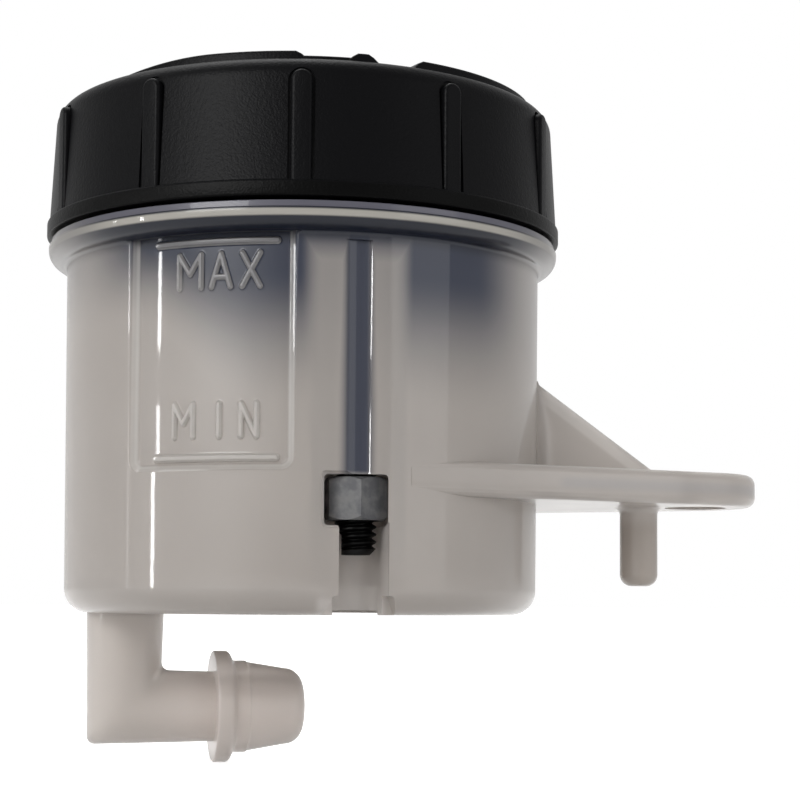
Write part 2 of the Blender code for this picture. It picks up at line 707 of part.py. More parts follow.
def build_screw(origin, steel):
    tip = SCREW_RADIUS - SCREW_CHAMFER
    profile = [(0.0, SCREW_FOOT), (tip, SCREW_FOOT), (SCREW_RADIUS, SCREW_FOOT + SCREW_CHAMFER)]
    profile += [(SCREW_RADIUS, SCREW_TOP - SCREW_CHAMFER), (tip, SCREW_TOP), (0.0, SCREW_TOP)]
    screw = place("lock_screw", turned(profile, 32), origin, 0.0, steel)
    screw.location = out_at(BOSS_AZIMUTH, SCREW_RUN)
    socket = hex_bar(SCREW_SOCKET_FLATS, SCREW_FOOT - OVERCUT, SCREW_FOOT + SCREW_SOCKET_DEPTH)
    cutter = place("cut hex socket", socket, origin)
    cutter.location = screw.location
    combine(screw, cutter, "DIFFERENCE")
    return screw


def build_nut(origin, steel):
    top = NUT_FOOT + NUT_HEIGHT
    corner = hex_corner(NUT_FLATS)
    blank = hex_bar(NUT_FLATS, NUT_FOOT, top)
    nut = place("lock_nut", blank, origin, BOSS_AZIMUTH, steel)
    nut.location = out_at(BOSS_AZIMUTH, SCREW_RUN)
    face = NUT_FLATS / 2
    cone = turned([
        (0.0, NUT_FOOT - WELD), (face, NUT_FOOT - WELD), (corner + NUT_CHAMFER, NUT_FOOT + 2 * NUT_CHAMFER),
        (corner + NUT_CHAMFER, top - 2 * NUT_CHAMFER), (face, top + WELD), (0.0, top + WELD),
    ], 36)
    hole = round_bar(SCREW_BORE, NUT_FOOT - OVERCUT, top + OVERCUT, 32)
    for name, bm, operation in (("chamfers", cone, "INTERSECT"), ("thread hole", hole, "DIFFERENCE")):
        tool = place(f"cut nut {name}", bm, origin)
        tool.location = nut.location
        combine(nut, tool, operation)
    return nut


def main():
    clear_scene()
    milky = finish_surface("milky polypropylene", (0.62, 0.60, 0.57), 0.28, transmission=0.5)
    black = finish_surface("black grained plastic", (0.02, 0.02, 0.022), 0.45)
    ring = finish_surface("white acetal", (0.75, 0.75, 0.73), 0.4)
    rubber = finish_surface("black rubber", (0.015, 0.016, 0.02), 0.7)
    blackened = finish_surface("blackened steel", (0.02, 0.02, 0.02), 0.4, metallic=1.0)
    zinc = finish_surface("zinc-plated steel", (0.55, 0.56, 0.56), 0.3, metallic=1.0)

    origin = bpy.data.objects.new("cup axis foot", None)
    bpy.context.collection.objects.link(origin)
    origin.location = (-ARM_REACH, 0.0, -SEAT_HEIGHT)

    build_body(origin, milky)
    build_cap(origin, black)
    build_slip_ring(origin, ring)
    build_diaphragm(origin, rubber)
    build_screw(origin, blackened)
    build_nut(origin, zinc)


main()
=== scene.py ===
"""Brake fluid reservoir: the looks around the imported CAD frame.

Shapes are made about the foot of the cup's axis, in millimetres, and carried to the frame's origin.
An azimuth is measured from the front towards +X, seen from above.
"""

import math

import bmesh
import bpy
import numpy as np
from mathutils import Matrix, Vector


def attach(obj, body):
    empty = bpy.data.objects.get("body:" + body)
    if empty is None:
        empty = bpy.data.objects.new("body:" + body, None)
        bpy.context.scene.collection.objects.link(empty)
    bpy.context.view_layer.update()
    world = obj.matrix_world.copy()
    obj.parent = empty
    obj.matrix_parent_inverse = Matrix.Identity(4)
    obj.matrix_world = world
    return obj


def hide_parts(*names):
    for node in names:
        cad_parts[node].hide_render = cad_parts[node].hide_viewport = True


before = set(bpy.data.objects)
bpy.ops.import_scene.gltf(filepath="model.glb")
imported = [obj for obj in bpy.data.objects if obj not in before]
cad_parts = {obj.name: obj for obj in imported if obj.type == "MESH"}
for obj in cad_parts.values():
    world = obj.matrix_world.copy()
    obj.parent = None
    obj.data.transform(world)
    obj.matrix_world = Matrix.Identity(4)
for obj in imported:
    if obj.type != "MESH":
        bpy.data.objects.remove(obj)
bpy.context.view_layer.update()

MM = 0.001
WELD = 1e-4
TINY = 2e-5
CUP_FOOT = Vector((-41.2, 0.0, -11.25))

# Facets
FINE = 256
MEDIUM = 96
RIB_FACETS = 24
FINE_CELL = 0.085
COARSE_CELL = 0.14
SPARSE_CELL = 4 * COARSE_CELL
THREAD_STEPS = 96
EDGE_STEPS = 5
ROOT_STEPS = 12
FOLD_STEPS = 14
BELLOWS_FACETS = 128
SCREW_FACETS = 48
SCREW_STEPS = 12
LAND_STEP = 0.5
LAND_LEAST_STEPS = 8

# Overlaps and margins of the shapes that are joined and cut
SINK = 0.4
OVERCUT = 1.0
SEAT_GAP = 0.3
WALL_END_SLACK = 0.01
WALL_SLACK = 0.02
WALL_FACING = 0.97

# Cup
CUP_RADIUS = 24.4
CUP_DRAFT = 0.2
CUP_HEIGHT = 35.4
FOOT_FILLET = 2.5
FOOT_WIDTH = 1.1
FOOT_DEPTH = 0.45
FOOT_EDGE = 0.15
FOOT_INNER_EDGE = 0.2
FLOOR_TOP = 2.75
FLOOR_FILLET = 2.0
FLANGE_RADIUS = 26.3
FLANGE_ROLL = 1.5
FLANGE_STEP = 0.25
FLANGE_EDGE = 0.1
FLANGE_STEP_EDGE = 0.08
FLANGE_THROAT = FLANGE_RADIUS - FLANGE_ROLL - CUP_RADIUS
FLANGE_FACE_TOP = 37.25
FLANGE_TOP = 37.9
FLANGE_RIM = 36.75
NECK_RADIUS = 23.0
NECK_TOP = 47.2
NECK_CHAMFER = 0.4
NECK_EDGE = 0.1
NECK_FOOT_EDGE = 0.2
CAVITY_RADIUS = 21.9

# Threads of neck and cap
PITCH = 3.0
THREAD_ROOT = 1.3
THREAD_CREST = 0.6
THREAD_DEPTH = 1.15
THREAD_CLEARANCE = 0.3
THREAD_FOOT = FLANGE_TOP + 1.7
THREAD_ANGLE = math.radians(3.7)
THREAD_RUN_OUT = 0.08
THREAD_SHOULDER = 0.12
NECK_TURNS = 1.75
CAP_TURNS = 1.5

# Boss, lock screw, flute and nut
SCREW_RUN = 21.0
BOSS_RADIUS = 4.4
BOSS_AZIMUTH = math.radians(14.1)
SCREW_RADIUS = 1.97
SCREW_CORE = 1.56
SCREW_PITCH = 0.7
SCREW_FOOT = 5.6
SCREW_TOP = 45.6
SCREW_CHAMFER = 0.6
SCREW_BORE = 2.17
THREAD_FLANK = (0.85, 0.62)
SCREW_FLAT = 1.3
FLAT_TOP = 7.5
FLAT_REACH = 3.0
FLAT_RUN_OUT = 0.6
FLAT_RISE = 0.5
SOCKET_FLATS = 2.0
SOCKET_DEPTH = 2.5
FLUTE_AZIMUTH = math.radians(12.8)
FLUTE_RADIUS = 2.6
FLUTE_DEPTH = 0.48
FLUTE_ARC = 20.0
FLANK_TILT = math.radians(51.2)
FLUTE_TOP = 34.7
NUT_FLATS = 5.46
NUT_FOOT = 8.8
NUT_TOP = 12.8
NUT_CHAMFER = 0.3
NUT_TURN = math.radians(-6.0)
POCKET_WIDTH = 5.95
POCKET_FLOOR = 8.25
POCKET_ROOF = 13.0
POCKET_RIM = 0.25
POCKET_RIM_DEPTH = 0.35
POCKET_RIM_PROUD = 0.05
POCKET_REACH = 3.0
POCKET_CORNER = 0.4
SLOT_WIDTH = 4.8
NOTCH_WIDTH = 5.8
NOTCH_FLARE = 0.6
NOTCH_HEIGHT = 1.8
NOTCH_INSET = 2.6
NOTCH_EDGE = 0.4

# Level window, its bars and its words
WINDOW_AZIMUTH = math.radians(-21.7)
WINDOW_WIDTH = 17.7
WINDOW_SILL = 13.0
WINDOW_DEPTH = 0.8
WINDOW_BORDER = 1.0
BORDER_ROUND = 0.14
WINDOW_CORNER = 1.5
WINDOW_FLARE = 0.6
WINDOW_HEAD_GAP = 0.02
WINDOW_FLOOR = CUP_RADIUS - WINDOW_DEPTH
BAR_AZIMUTH = -20.2
BAR_LENGTH = 13.3
BAR_WIDTH = 0.88
BAR_RISE = 0.5
MAX_LEVEL = 34.55
MIN_LEVEL = 14.45
BAR_EDGE = 0.3
BAR_MARGIN = 0.3
BAR_BELOW = 0.7
BORDER_MARGIN = 0.1
STROKE_WIDTH = 0.74
STROKE_RISE = 0.42
STROKE_EDGE = 0.27
WORD_MARGIN = 0.2

# Bracket
ARM_REACH = 41.2
ARM_END = 39.8
ARM_END_RADIUS = 7.5
SEAT_HEIGHT = 11.25
PLATE_TOP = 14.6
PLATE_EDGE = 1.0
ARM_LEDGE = 0.12
BOLT_RADIUS = 3.2
PIN_RUN = 35.2
PIN_RADIUS = 1.95
PIN_LENGTH = 8.2
PIN_TIP = 1.2
PIN_FILLET = 0.8
GUSSET_THICKNESS = 3.0
GUSSET_TOP = 24.28
GUSSET_TOE = 37.2
GUSSET_EDGE = 0.7
GUSSET_ROOT = 1.7
GUSSET_SINK = 0.03
GUSSET_PAST_TOE = 1.0
GUSSET_ABOVE = 1.5
TOE_FILLET = 0.8
TOP_FILLET = 1.4
ROOT_BLEND = 2.4
ROOT_LEAST = 0.06
ROOT_SHARE = 0.3
ROOT_SINK = 0.6

# Elbow outlet
TUBE_X = -18.05
TUBE_RADIUS = 3.95
TUBE_DRAFT = 0.18
ELBOW_DROP = 9.65
ELBOW_YAW = math.radians(10.0)
ELBOW_EDGE = 0.8
BORE_RADIUS = 2.35
ARM_LENGTH = 9.05
COLLAR_RADIUS = 5.75
COLLAR_WIDTH = 1.55
COLLAR_TAPER = 0.55
COLLAR_EDGES = (0.25, 0.5)
SPIGOT_RADIUS = 4.6
SPIGOT_LENGTH = 7.3
SPIGOT_STEP = 0.14
SPIGOT_LAND = 1.3
SPIGOT_TAPER = 0.65
SPIGOT_NOSE = 1.9
SPIGOT_EDGES = (0.3, 0.2, 0.4)

# Diaphragm
BELLOWS_CREST = 16.15
BELLOWS_FOLD = 2.4
BELLOWS_PITCH = 4.2
BELLOWS_FOLDS = 5
RUBBER = 0.9
FLANGE_RUBBER = 1.2
FLOOR_EDGE = 0.8
BUTTON_EDGE = 0.3

# Cap
CAP_FOOT = 38.2
BAND_TOP = 39.7
BAND_RADIUS = 26.5
BAND_EDGE = 0.2
BAND_SLOPE = 0.05
BAND_CORNER = 0.1
CAP_RADIUS = 25.7
CAP_WALL_FOOT = 26.25
CAP_HEIGHT = 51.5
CAP_CROWN = 1.9
CAP_CEILING = 50.1
CAP_BORE = 24.45
RIB_COUNT = 11
RIB_START = math.radians(-0.5)
RIB_WIDTH = 1.95
RIB_RISE = 0.65
RIB_TOP = 1.5
RIB_EDGE = 0.35
GROOVE_WIDTH = 0.28
GROOVE_DEPTH = 0.3
GROOVE_GAP = 0.05
LAND_HEIGHT = 0.92
LAND_INNER = 19.4
LAND_OUTER = 23.7
LAND_EDGE = 0.25
LAND_SLOPE = 1.5
LAND_SINK = 0.1
LOW_LAND = (-6.0, 15.0)
LOW_LAND_HEIGHT = 0.5
LOW_LAND_INSET = 0.12
LAND_ARCS = ((8.5, 18.5), (24.5, 75.0), (95.0, 165.0), (195.0, 265.0))
LONG_LAND = (-64.0, 2.0)
LONG_LAND_SLOPE = 16.0

# Camera, as fitted to the photograph
CAMERA_PLACE = (1.005, -200.62, 1.246)
CAMERA_YAW = 0.04575
CAMERA_PITCH = 0.06315
CAMERA_ROLL = 0.00597
FOCAL_PIXELS = 1931.5
PHOTO_SIDE = 800.0
SENSOR = 36.0
SHIFT_UP = 0.1
CLIP_START = 0.01
CLIP_END = 20.0

# Stage and light
FLOOR_LEVEL = -15.7
FLOOR_SIDE = 6.0
FLOOR_GLOW = 0.74
WORLD_LIGHT = 0.6

# Strips that show in the gloss only: name, azimuth in degrees, height, width, length and power
STRIP_DISTANCE = 450.0
STRIP_LAMPS = (
    ("strip lamp low", -72.0, -3.7, 14.0, 132.6, 0.34),
    ("strip lamp high", -72.0, 98.0, 14.0, 34.0, 0.09),
    ("far strip lamp", -87.5, 105.0, 11.0, 44.0, 0.05),
    ("faint strip lamp", -87.5, 15.0, 11.0, 130.0, 0.02),
)

# Broad lamps: name, place, height aimed at, width, length, power, and whether they light more than the gloss
BROAD_LAMPS = (
    ("soft front", (-330.0, -420.0, 220.0), 30.0, 250.0, 160.0, 0.9, True),
    ("front gloss", (-330.0, -420.0, 220.0), 30.0, 250.0, 160.0, 4.0, False),
    ("soft top", (-100.0, 150.0, 520.0), 20.0, 420.0, 300.0, 1.6, True),
    ("soft right", (450.0, -300.0, 150.0), 20.0, 300.0, 300.0, 0.5, True),
)


def in_frame(point):
    return (Vector(point) + CUP_FOOT) * MM


def out_at(azimuth, distance, height=0.0):
    return Vector((distance * math.sin(azimuth), -distance * math.cos(azimuth), height))


def smooth_step(share):
    share = np.clip(share, 0.0, 1.0)
    return share * share * (3.0 - 2.0 * share)


def new_object(name, data):
    item = bpy.data.objects.new(name, data)
    bpy.context.collection.objects.link(item)
    return item


# Shape making


def arc(centre, radius, start, end, steps=8):
    """Points along an arc; the angles are in degrees, from the first axis."""
    points = []
    for step in range(steps + 1):
        angle = math.radians(start + (end - start) * step / steps)
        points.append((centre[0] + radius * math.cos(angle), centre[1] + radius * math.sin(angle)))
    return points


def rounded(corners, closed=True, steps=6):
    """An outline of (x, y, radius) corners, each turned into an arc of its radius."""
    points = []
    count = len(corners)
    for number, (x, y, radius) in enumerate(corners):
        here = Vector((x, y))
        ends = not closed and number in (0, count - 1)
        if radius == 0.0 or ends:
            points.append((x, y))
            continue
        before = (Vector(corners[number - 1][:2]) - here).normalized()
        after = (Vector(corners[(number + 1) % count][:2]) - here).normalized()
        half = before.angle(after) / 2
        centre = here + (before + after).normalized() * radius / math.sin(half)
        start = here + before * radius / math.tan(half) - centre
        turn = start.angle_signed(here + after * radius / math.tan(half) - centre)
        for step in range(steps + 1):
            spoke = start.copy()
            spoke.rotate(Matrix.Rotation(-turn * step / steps, 2))
            points.append(tuple(centre + spoke))
    return points


def turned(profile, segments=FINE):
    """A profile of (radius, height) points spun about Z."""
    bm = bmesh.new()
    points = [bm.verts.new((radius, 0.0, height)) for radius, height in profile]
    edges = [bm.edges.new(pair) for pair in zip(points, points[1:])]
    bmesh.ops.spin(
        bm, geom=points + edges, cent=(0, 0, 0), axis=(0, 0, 1), angle=math.tau,
        steps=segments, use_merge=True,
    )
    bmesh.ops.remove_doubles(bm, verts=bm.verts, dist=WELD)
    return bm


def round_edges(bm, rims, edge):
    bmesh.ops.bevel(bm, geom=rims, offset=edge, segments=EDGE_STEPS, profile=0.5, affect="EDGES")


def extruded(outline, low, high, edge=0.0, both=True):
    """An outline of (x, y) points raised from low to high, its rims rounded by edge."""
    bm = bmesh.new()
    face = bm.faces.new([bm.verts.new((x, y, low)) for x, y in outline])
    raised = bmesh.ops.extrude_face_region(bm, geom=[face])["geom"]
    corners = [item for item in raised if isinstance(item, bmesh.types.BMVert)]
    bmesh.ops.translate(bm, verts=corners, vec=(0, 0, high - low))
    if edge:
        heights = (low, high) if both else (high,)
        rims = [
            rim
            for rim in bm.edges
            if any(all(abs(corner.co.z - height) < WELD for corner in rim.verts) for height in heights)
        ]
        round_edges(bm, rims, edge)
    return bm


def move(bm, offset):
    bmesh.ops.translate(bm, verts=bm.verts, vec=offset)
    return bm


def rotated(bm, matrix):
    bmesh.ops.rotate(bm, verts=bm.verts, cent=(0, 0, 0), matrix=matrix)
    return bm


def stand_across(bm):
    """Turn an outline drawn in X and Z, and extruded, so that its thickness runs along Y."""
    return rotated(bm, Matrix.Rotation(math.radians(90.0), 3, "X"))


def round_bar(radius, low, high, segments=MEDIUM):
    return turned([(0.0, low), (radius, low), (radius, high), (0.0, high)], segments)


def hex_corner(across_flats):
    return across_flats / 2 / math.cos(math.pi / 6)


def hex_bar(across_flats, low, high):
    """A hexagonal prism with one corner towards the front."""
    corner = hex_corner(across_flats)
    outline = [(corner * math.sin(math.tau * k / 6), -corner * math.cos(math.tau * k / 6)) for k in range(6)]
    return extruded(outline, low, high)


def bridge(bm, lower, upper, closed=True):
    """Faces between two rows of corners."""
    count = len(lower)
    for here in range(count if closed else count - 1):
        there = (here + 1) % count
        bm.faces.new((lower[here], lower[there], upper[there], upper[here]))


def lofted(sections):
    """Closed sections of the same number of points, joined one to the next and capped."""
    bm = bmesh.new()
    loops = [[bm.verts.new(point) for point in section] for section in sections]
    for lower, upper in zip(loops, loops[1:]):
        bridge(bm, lower, upper)
    bm.faces.new(loops[0])
    bm.faces.new(loops[-1])
    return bm


def helix_ridge(wall, crest, foot, turns):
    """A right-handed thread ridge on a wall, fading into it at both ends."""
    outward = math.copysign(1.0, crest - wall)
    base = wall - outward * SINK
    low = wall - outward * SINK / 2
    half_root = THREAD_ROOT / 2
    half_crest = THREAD_CREST / 2
    sections = []
    for step in range(round(turns * THREAD_STEPS) + 1):
        travel = step / THREAD_STEPS
        fade = smooth_step(min(travel, turns - travel) / THREAD_RUN_OUT)
        tip = low + (crest - wall + outward * SINK / 2) * fade
        flank = tip - outward * THREAD_SHOULDER
        rise = foot + PITCH * travel
        angle = THREAD_ANGLE + math.tau * travel
        section = (
            (base, rise - half_root),
            (base, rise + half_root),
            (flank, rise + half_crest + THREAD_SHOULDER / 2),
            (tip, rise + half_crest - THREAD_SHOULDER),
            (tip, rise - half_crest + THREAD_SHOULDER),
            (flank, rise - half_crest - THREAD_SHOULDER / 2),
        )
        sections.append([(radius * math.cos(angle), radius * math.sin(angle), z) for radius, z in section])
    return lofted(sections)


def mitred_pipe(start, corner, end, radii, edge=0.0):
    """A round pipe with one square corner, its two legs meeting on the mitre plane."""
    first = (corner - start).normalized()
    second = (end - corner).normalized()
    side = first.cross(second)
    sections = []
    for (centre, rise), radius in zip(((start, second), (corner, second - first), (end, -first)), radii):
        section = []
        for step in range(MEDIUM):
            angle = math.tau * step / MEDIUM
            section.append(centre + side * radius * math.cos(angle) + rise * radius * math.sin(angle))
        sections.append(section)
    bm = lofted(sections)
    if edge:
        bm.verts.ensure_lookup_table()
        ring = set(bm.verts[MEDIUM:2 * MEDIUM])
        seam = [rim for rim in bm.edges if ring.issuperset(rim.verts)]
        round_edges(bm, seam, edge)
    return bm


def shape(name, bm, azimuth=0.0):
    """A closed shape with its faces pointing out, ready to be joined or cut."""
    bmesh.ops.recalc_face_normals(bm, faces=bm.faces)
    if bm.calc_volume(signed=True) < 0.0:
        bmesh.ops.reverse_faces(bm, faces=bm.faces)
    mesh = bpy.data.meshes.new(name)
    bm.to_mesh(mesh)
    bm.free()
    item = new_object(name, mesh)
    item.rotation_euler.z = azimuth
    return item


def combined(base, steps):
    """Join and cut shapes in turn, and leave one object with the result."""
    for operation, tool in steps:
        step = base.modifiers.new(tool.name, "BOOLEAN")
        step.operation = operation
        step.solver = "EXACT"
        step.object = tool
    depsgraph = bpy.context.evaluated_depsgraph_get()
    mesh = bpy.data.meshes.new_from_object(base.evaluated_get(depsgraph))
    bm = bmesh.new()
    bm.from_mesh(mesh)
    bmesh.ops.remove_doubles(bm, verts=bm.verts, dist=TINY)
    bm.to_mesh(mesh)
    bm.free()
    result = new_object(base.name, mesh)
    result.rotation_euler = base.rotation_euler
    name = base.name
    for item in [base] + [tool for operation, tool in steps]:
        bpy.data.objects.remove(item, do_unlink=True)
    result.name = name
    return result


def piece(item, material, body, node, crease=30.0):
    """Carry a finished shape to the frame and let it stand for its CAD node."""
    mesh = item.data
    place = Matrix.Translation(CUP_FOOT * MM) @ Matrix.Scale(MM, 4) @ item.matrix_basis
    mesh.transform(place)
    item.rotation_euler = (0.0, 0.0, 0.0)
    item.location = (0.0, 0.0, 0.0)
    mesh.shade_smooth()
    mesh.set_sharp_from_angle(angle=math.radians(crease))
    mesh.materials.clear()
    mesh.materials.append(material)
    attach(item, body)
    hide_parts(node)


def read_mesh(items, name, width, kind=float):
    values = np.empty(len(items) * width, dtype=kind)
    items.foreach_get(name, values)
    return values.reshape(-1, width)


def true_walls(mesh, walls):
    """Set exact normals on turned walls, which small cut facets would otherwise bend."""
    count = len(mesh.loops)
    places = read_mesh(mesh.vertices, "co", 3) / MM - np.array(CUP_FOOT)
    sizes = read_mesh(mesh.polygons, "loop_total", 1, np.int32)[:, 0]
    facing = np.repeat(read_mesh(mesh.polygons, "normal", 3), sizes, axis=0)
    at = places[read_mesh(mesh.loops, "vertex_index", 1, np.int32)[:, 0]]
    reach = np.hypot(at[:, 0], at[:, 1])
    spoke = np.zeros((count, 3))
    spoke[:, :2] = at[:, :2] / np.maximum(reach, WELD)[:, None]
    normals = np.zeros((count, 3))
    for side, low, high, low_radius, high_radius in walls:
        slope = (high_radius - low_radius) / (high - low)
        radius = low_radius + slope * (at[:, 2] - low)
        on_wall = (at[:, 2] > low - WALL_END_SLACK) & (at[:, 2] < high + WALL_END_SLACK)
        on_wall &= abs(reach - radius) < WALL_SLACK
        on_wall &= side * np.sum(facing * spoke, axis=1) > WALL_FACING
        exact = side * (spoke - np.array([0.0, 0.0, slope]))
        normals[on_wall] = (exact / np.linalg.norm(exact, axis=1)[:, None])[on_wall]
    mesh.normals_split_custom_set(normals.tolist())


# Materials

# Base colours; the tones of a pair lie side by side in clouds or stains
MILK_EVEN = (0.5, 0.46, 0.43)
MILK_TONES = ((0.47, 0.43, 0.4), (0.54, 0.5, 0.465))
# Painted highlight on the flanks of the window's raised bars and letters
RELIEF_HIGHLIGHT_MILK = (0.75, 0.73, 0.7)
# Painted light on the elbow and the spigot, which lie below the cup in its shade
ELBOW_PAINTED_LIGHT = (0.69, 0.64, 0.6)
SPIGOT_PAINTED_LIGHT = (0.8, 0.74, 0.7)
# Painted shade where the black rubber or the screw lies behind the wall
RUBBER_SHOW_THROUGH_SHADE = (0.03, 0.036, 0.06)
CAP_BLACK = (0.003, 0.003, 0.0035)
# Painted shade on the cap's base band
BAND_SHADE_BLACK = (0.001, 0.001, 0.001)
RUBBER_BLACK = (0.015, 0.016, 0.02)
SCREW_TONES = ((0.003, 0.003, 0.003), (0.009, 0.009, 0.009))
NUT_TONES = ((0.075, 0.075, 0.08), (0.115, 0.115, 0.115))
ACETAL_EVEN = (0.75, 0.75, 0.73)
ACETAL_TONES = ((0.71, 0.71, 0.69), (0.79, 0.79, 0.77))
FLOOR_GREY = (0.8, 0.8, 0.8)
WHITE = (1.0, 1.0, 1.0, 1.0)

# The middle of the painted shade where the rubber and the screw lie behind the wall, in degrees
RUBBER_AZIMUTH = 3.0
SCREW_AZIMUTH = math.degrees(FLUTE_AZIMUTH) - 0.4

# Height of the foot of the rubber's painted shade and length of its fade: the azimuths between which they
# change, and their values
RUBBER_FOOT = (-40.0, -10.0, 27.5, 19.0)
RUBBER_FADE = (-40.0, -10.0, 7.5, 13.0)

# Masks on the cup, as rows of a measure, where its ramp starts and ends, and the values there if not 0 and 1
# Where the painted shade of the rubber and the screw lies on the wall
RUBBER_SIDES = (("off_rubber", 40.0, 64.0, 1.0, 0.3),)
BOSS_SIDES = (("off_screw", 8.0, 13.0, 0.28, 1.0),)
BOSS_TOP = (("height", 31.0, 35.8),)
SCREW_BLUR = (("off_screw", 1.9, 4.8, 0.98, 0.0), ("height", POCKET_ROOF - 0.6, POCKET_ROOF + 0.4))
# The raised strokes, strongest on their flanks: the painted highlight lies there, and they thin the painted
# shade
RELIEF = (
    ("reach", WINDOW_FLOOR + 0.03, WINDOW_FLOOR + 0.2),
    ("reach", WINDOW_FLOOR + 0.24, WINDOW_FLOOR + 0.4, 1.0, 0.6),
    ("reach", CUP_RADIUS - 0.26, CUP_RADIUS - 0.15, 1.0, 0.0),
    ("azimuth", -0.6, -0.2, 1.0, 0.0),
    ("height", WINDOW_SILL - 0.3, WINDOW_SILL + 0.1),
)
# Where painted light lies in the nut's pocket and the screw's slot
POCKET = (
    ("off_screw", 7.5, 9.5, 1.0, 0.0),
    ("reach", CUP_RADIUS - 0.6, CUP_RADIUS - 0.2, 1.0, 0.0),
    ("height", POCKET_ROOF, POCKET_ROOF + 0.2, 1.0, 0.0),
)
# Where the painted light lies on the outlet below the cup's foot, growing towards the spigot
UNDER_FOOT = (("height", -0.6, 0.3, 1.0, 0.0),)
PAST_CORNER = (("across", TUBE_X, TUBE_X + 8.0),)
ARM = ("across", CUP_RADIUS, CUP_RADIUS + 1.5)
# Painted shade on the locating pin, painted light along the gusset's slope, and painted shade along the
# middle of the plate's edge
PIN = (ARM, ("height", SEAT_HEIGHT - 2.5, SEAT_HEIGHT - 0.5, 0.55, 0.0))
GUSSET_RIM_LIGHT = (ARM, ("past_gusset", -1.7, -1.3, 0.0, 0.45), ("height", PLATE_TOP, PLATE_TOP + 0.4))
PLATE_MIDDLE_SHADE = (ARM, ("off_plate", 0.1, 0.9, 0.4, 0.0))
# Painted shade under the cap, a painted light line along the flange's rim, and lighter painted shade on the
# lip above it
UNDER_CAP = (
    ("height", 34.0, 35.8),
    ("off_rubber", 40.0, 75.0, 1.0, 0.3),
    ("height", FLANGE_TOP, FLANGE_TOP + 0.5, 1.0, 0.2),
)
FLANGE_RIM_LIGHT = (("off_rim", 0.2, 0.42, 1.0, 0.0), *UNDER_CAP)
LIP = (("height", FLANGE_FACE_TOP - 0.02, FLANGE_FACE_TOP + 0.1), *UNDER_CAP)

# Layers of painted light and shade, each with its mask, in the order in which they are laid over the milk
# Painted light in the shaded pocket and slot
POCKET_LIGHT_LAYER = (POCKET, (0.68, 0.64, 0.61))
# Painted shade on the pin, painted light on the gusset's rim and painted shade along the plate's middle
BRACKET_LIGHT_AND_SHADE = (
    (PIN, (0.3, 0.25, 0.21)),
    (GUSSET_RIM_LIGHT, (0.75, 0.72, 0.69)),
    (PLATE_MIDDLE_SHADE, (0.33, 0.33, 0.35)),
)
# Painted shade under the cap, painted light along the flange's rim and lighter painted shade on the lip
FLANGE_LIGHT_AND_SHADE = (
    (UNDER_CAP, (0.004, 0.006, 0.014)),
    (FLANGE_RIM_LIGHT, (0.42, 0.4, 0.36)),
    (LIP, (0.12, 0.118, 0.15)),
)

# The share of the painted highlight on the raised strokes, what the strokes leave of the painted shade, and
# how clear the cup is off and on that shade
RELIEF_HIGHLIGHT_SHARE = 0.75
RELIEF_CLEARS = 0.5
SEE_THROUGH = (0.45, 0.2)


def new_material(name):
    material = bpy.data.materials.new(name)
    material.use_nodes = True
    return material, material.node_tree.nodes["Principled BSDF"]


def settle(shader, colour, roughness, metallic=0.0, specular=0.5):
    shader.inputs["Base Color"].default_value = (*colour, 1.0)
    shader.inputs["Roughness"].default_value = roughness
    shader.inputs["Metallic"].default_value = metallic
    shader.inputs["Specular IOR Level"].default_value = specular


def feed(shader, name, value):
    shader.id_data.links.new(value, shader.inputs[name])


def calculate(operation, first, *others):
    """A Math node on a socket and further sockets or numbers."""
    tree = first.id_data
    node = tree.nodes.new("ShaderNodeMath")
    node.operation = operation
    for socket, term in zip(node.inputs, (first, *others)):
        if isinstance(term, float):
            socket.default_value = term
        else:
            tree.links.new(term, socket)
    return node.outputs[0]


def product(first, *others):
    for other in others:
        first = calculate("MULTIPLY", first, other)
    return first


def away_from(value, centre):
    return calculate("ABSOLUTE", calculate("SUBTRACT", value, centre))


def ramp(value, low, high, at_low=0.0, at_high=1.0):
    """A smooth change from one value to another while the input goes from low to high."""
    tree = value.id_data
    node = tree.nodes.new("ShaderNodeMapRange")
    node.interpolation_type = "SMOOTHSTEP"
    node.inputs["From Min"].default_value = low
    node.inputs["From Max"].default_value = high
    node.inputs["To Min"].default_value = at_low
    node.inputs["To Max"].default_value = at_high
    tree.links.new(value, node.inputs["Value"])
    return node.outputs[0]


def mix_colours(share, first, second):
    tree = share.id_data
    node = tree.nodes.new("ShaderNodeMix")
    node.data_type = "RGBA"
    tree.links.new(share, node.inputs["Factor"])
    for socket, colour in ((node.inputs[6], first), (node.inputs[7], second)):
        if isinstance(colour, tuple):
            socket.default_value = (*colour, 1.0)
        else:
            tree.links.new(colour, socket)
    return node.outputs[2]


def object_place(shader):
    return shader.id_data.nodes.new("ShaderNodeTexCoord").outputs["Object"]


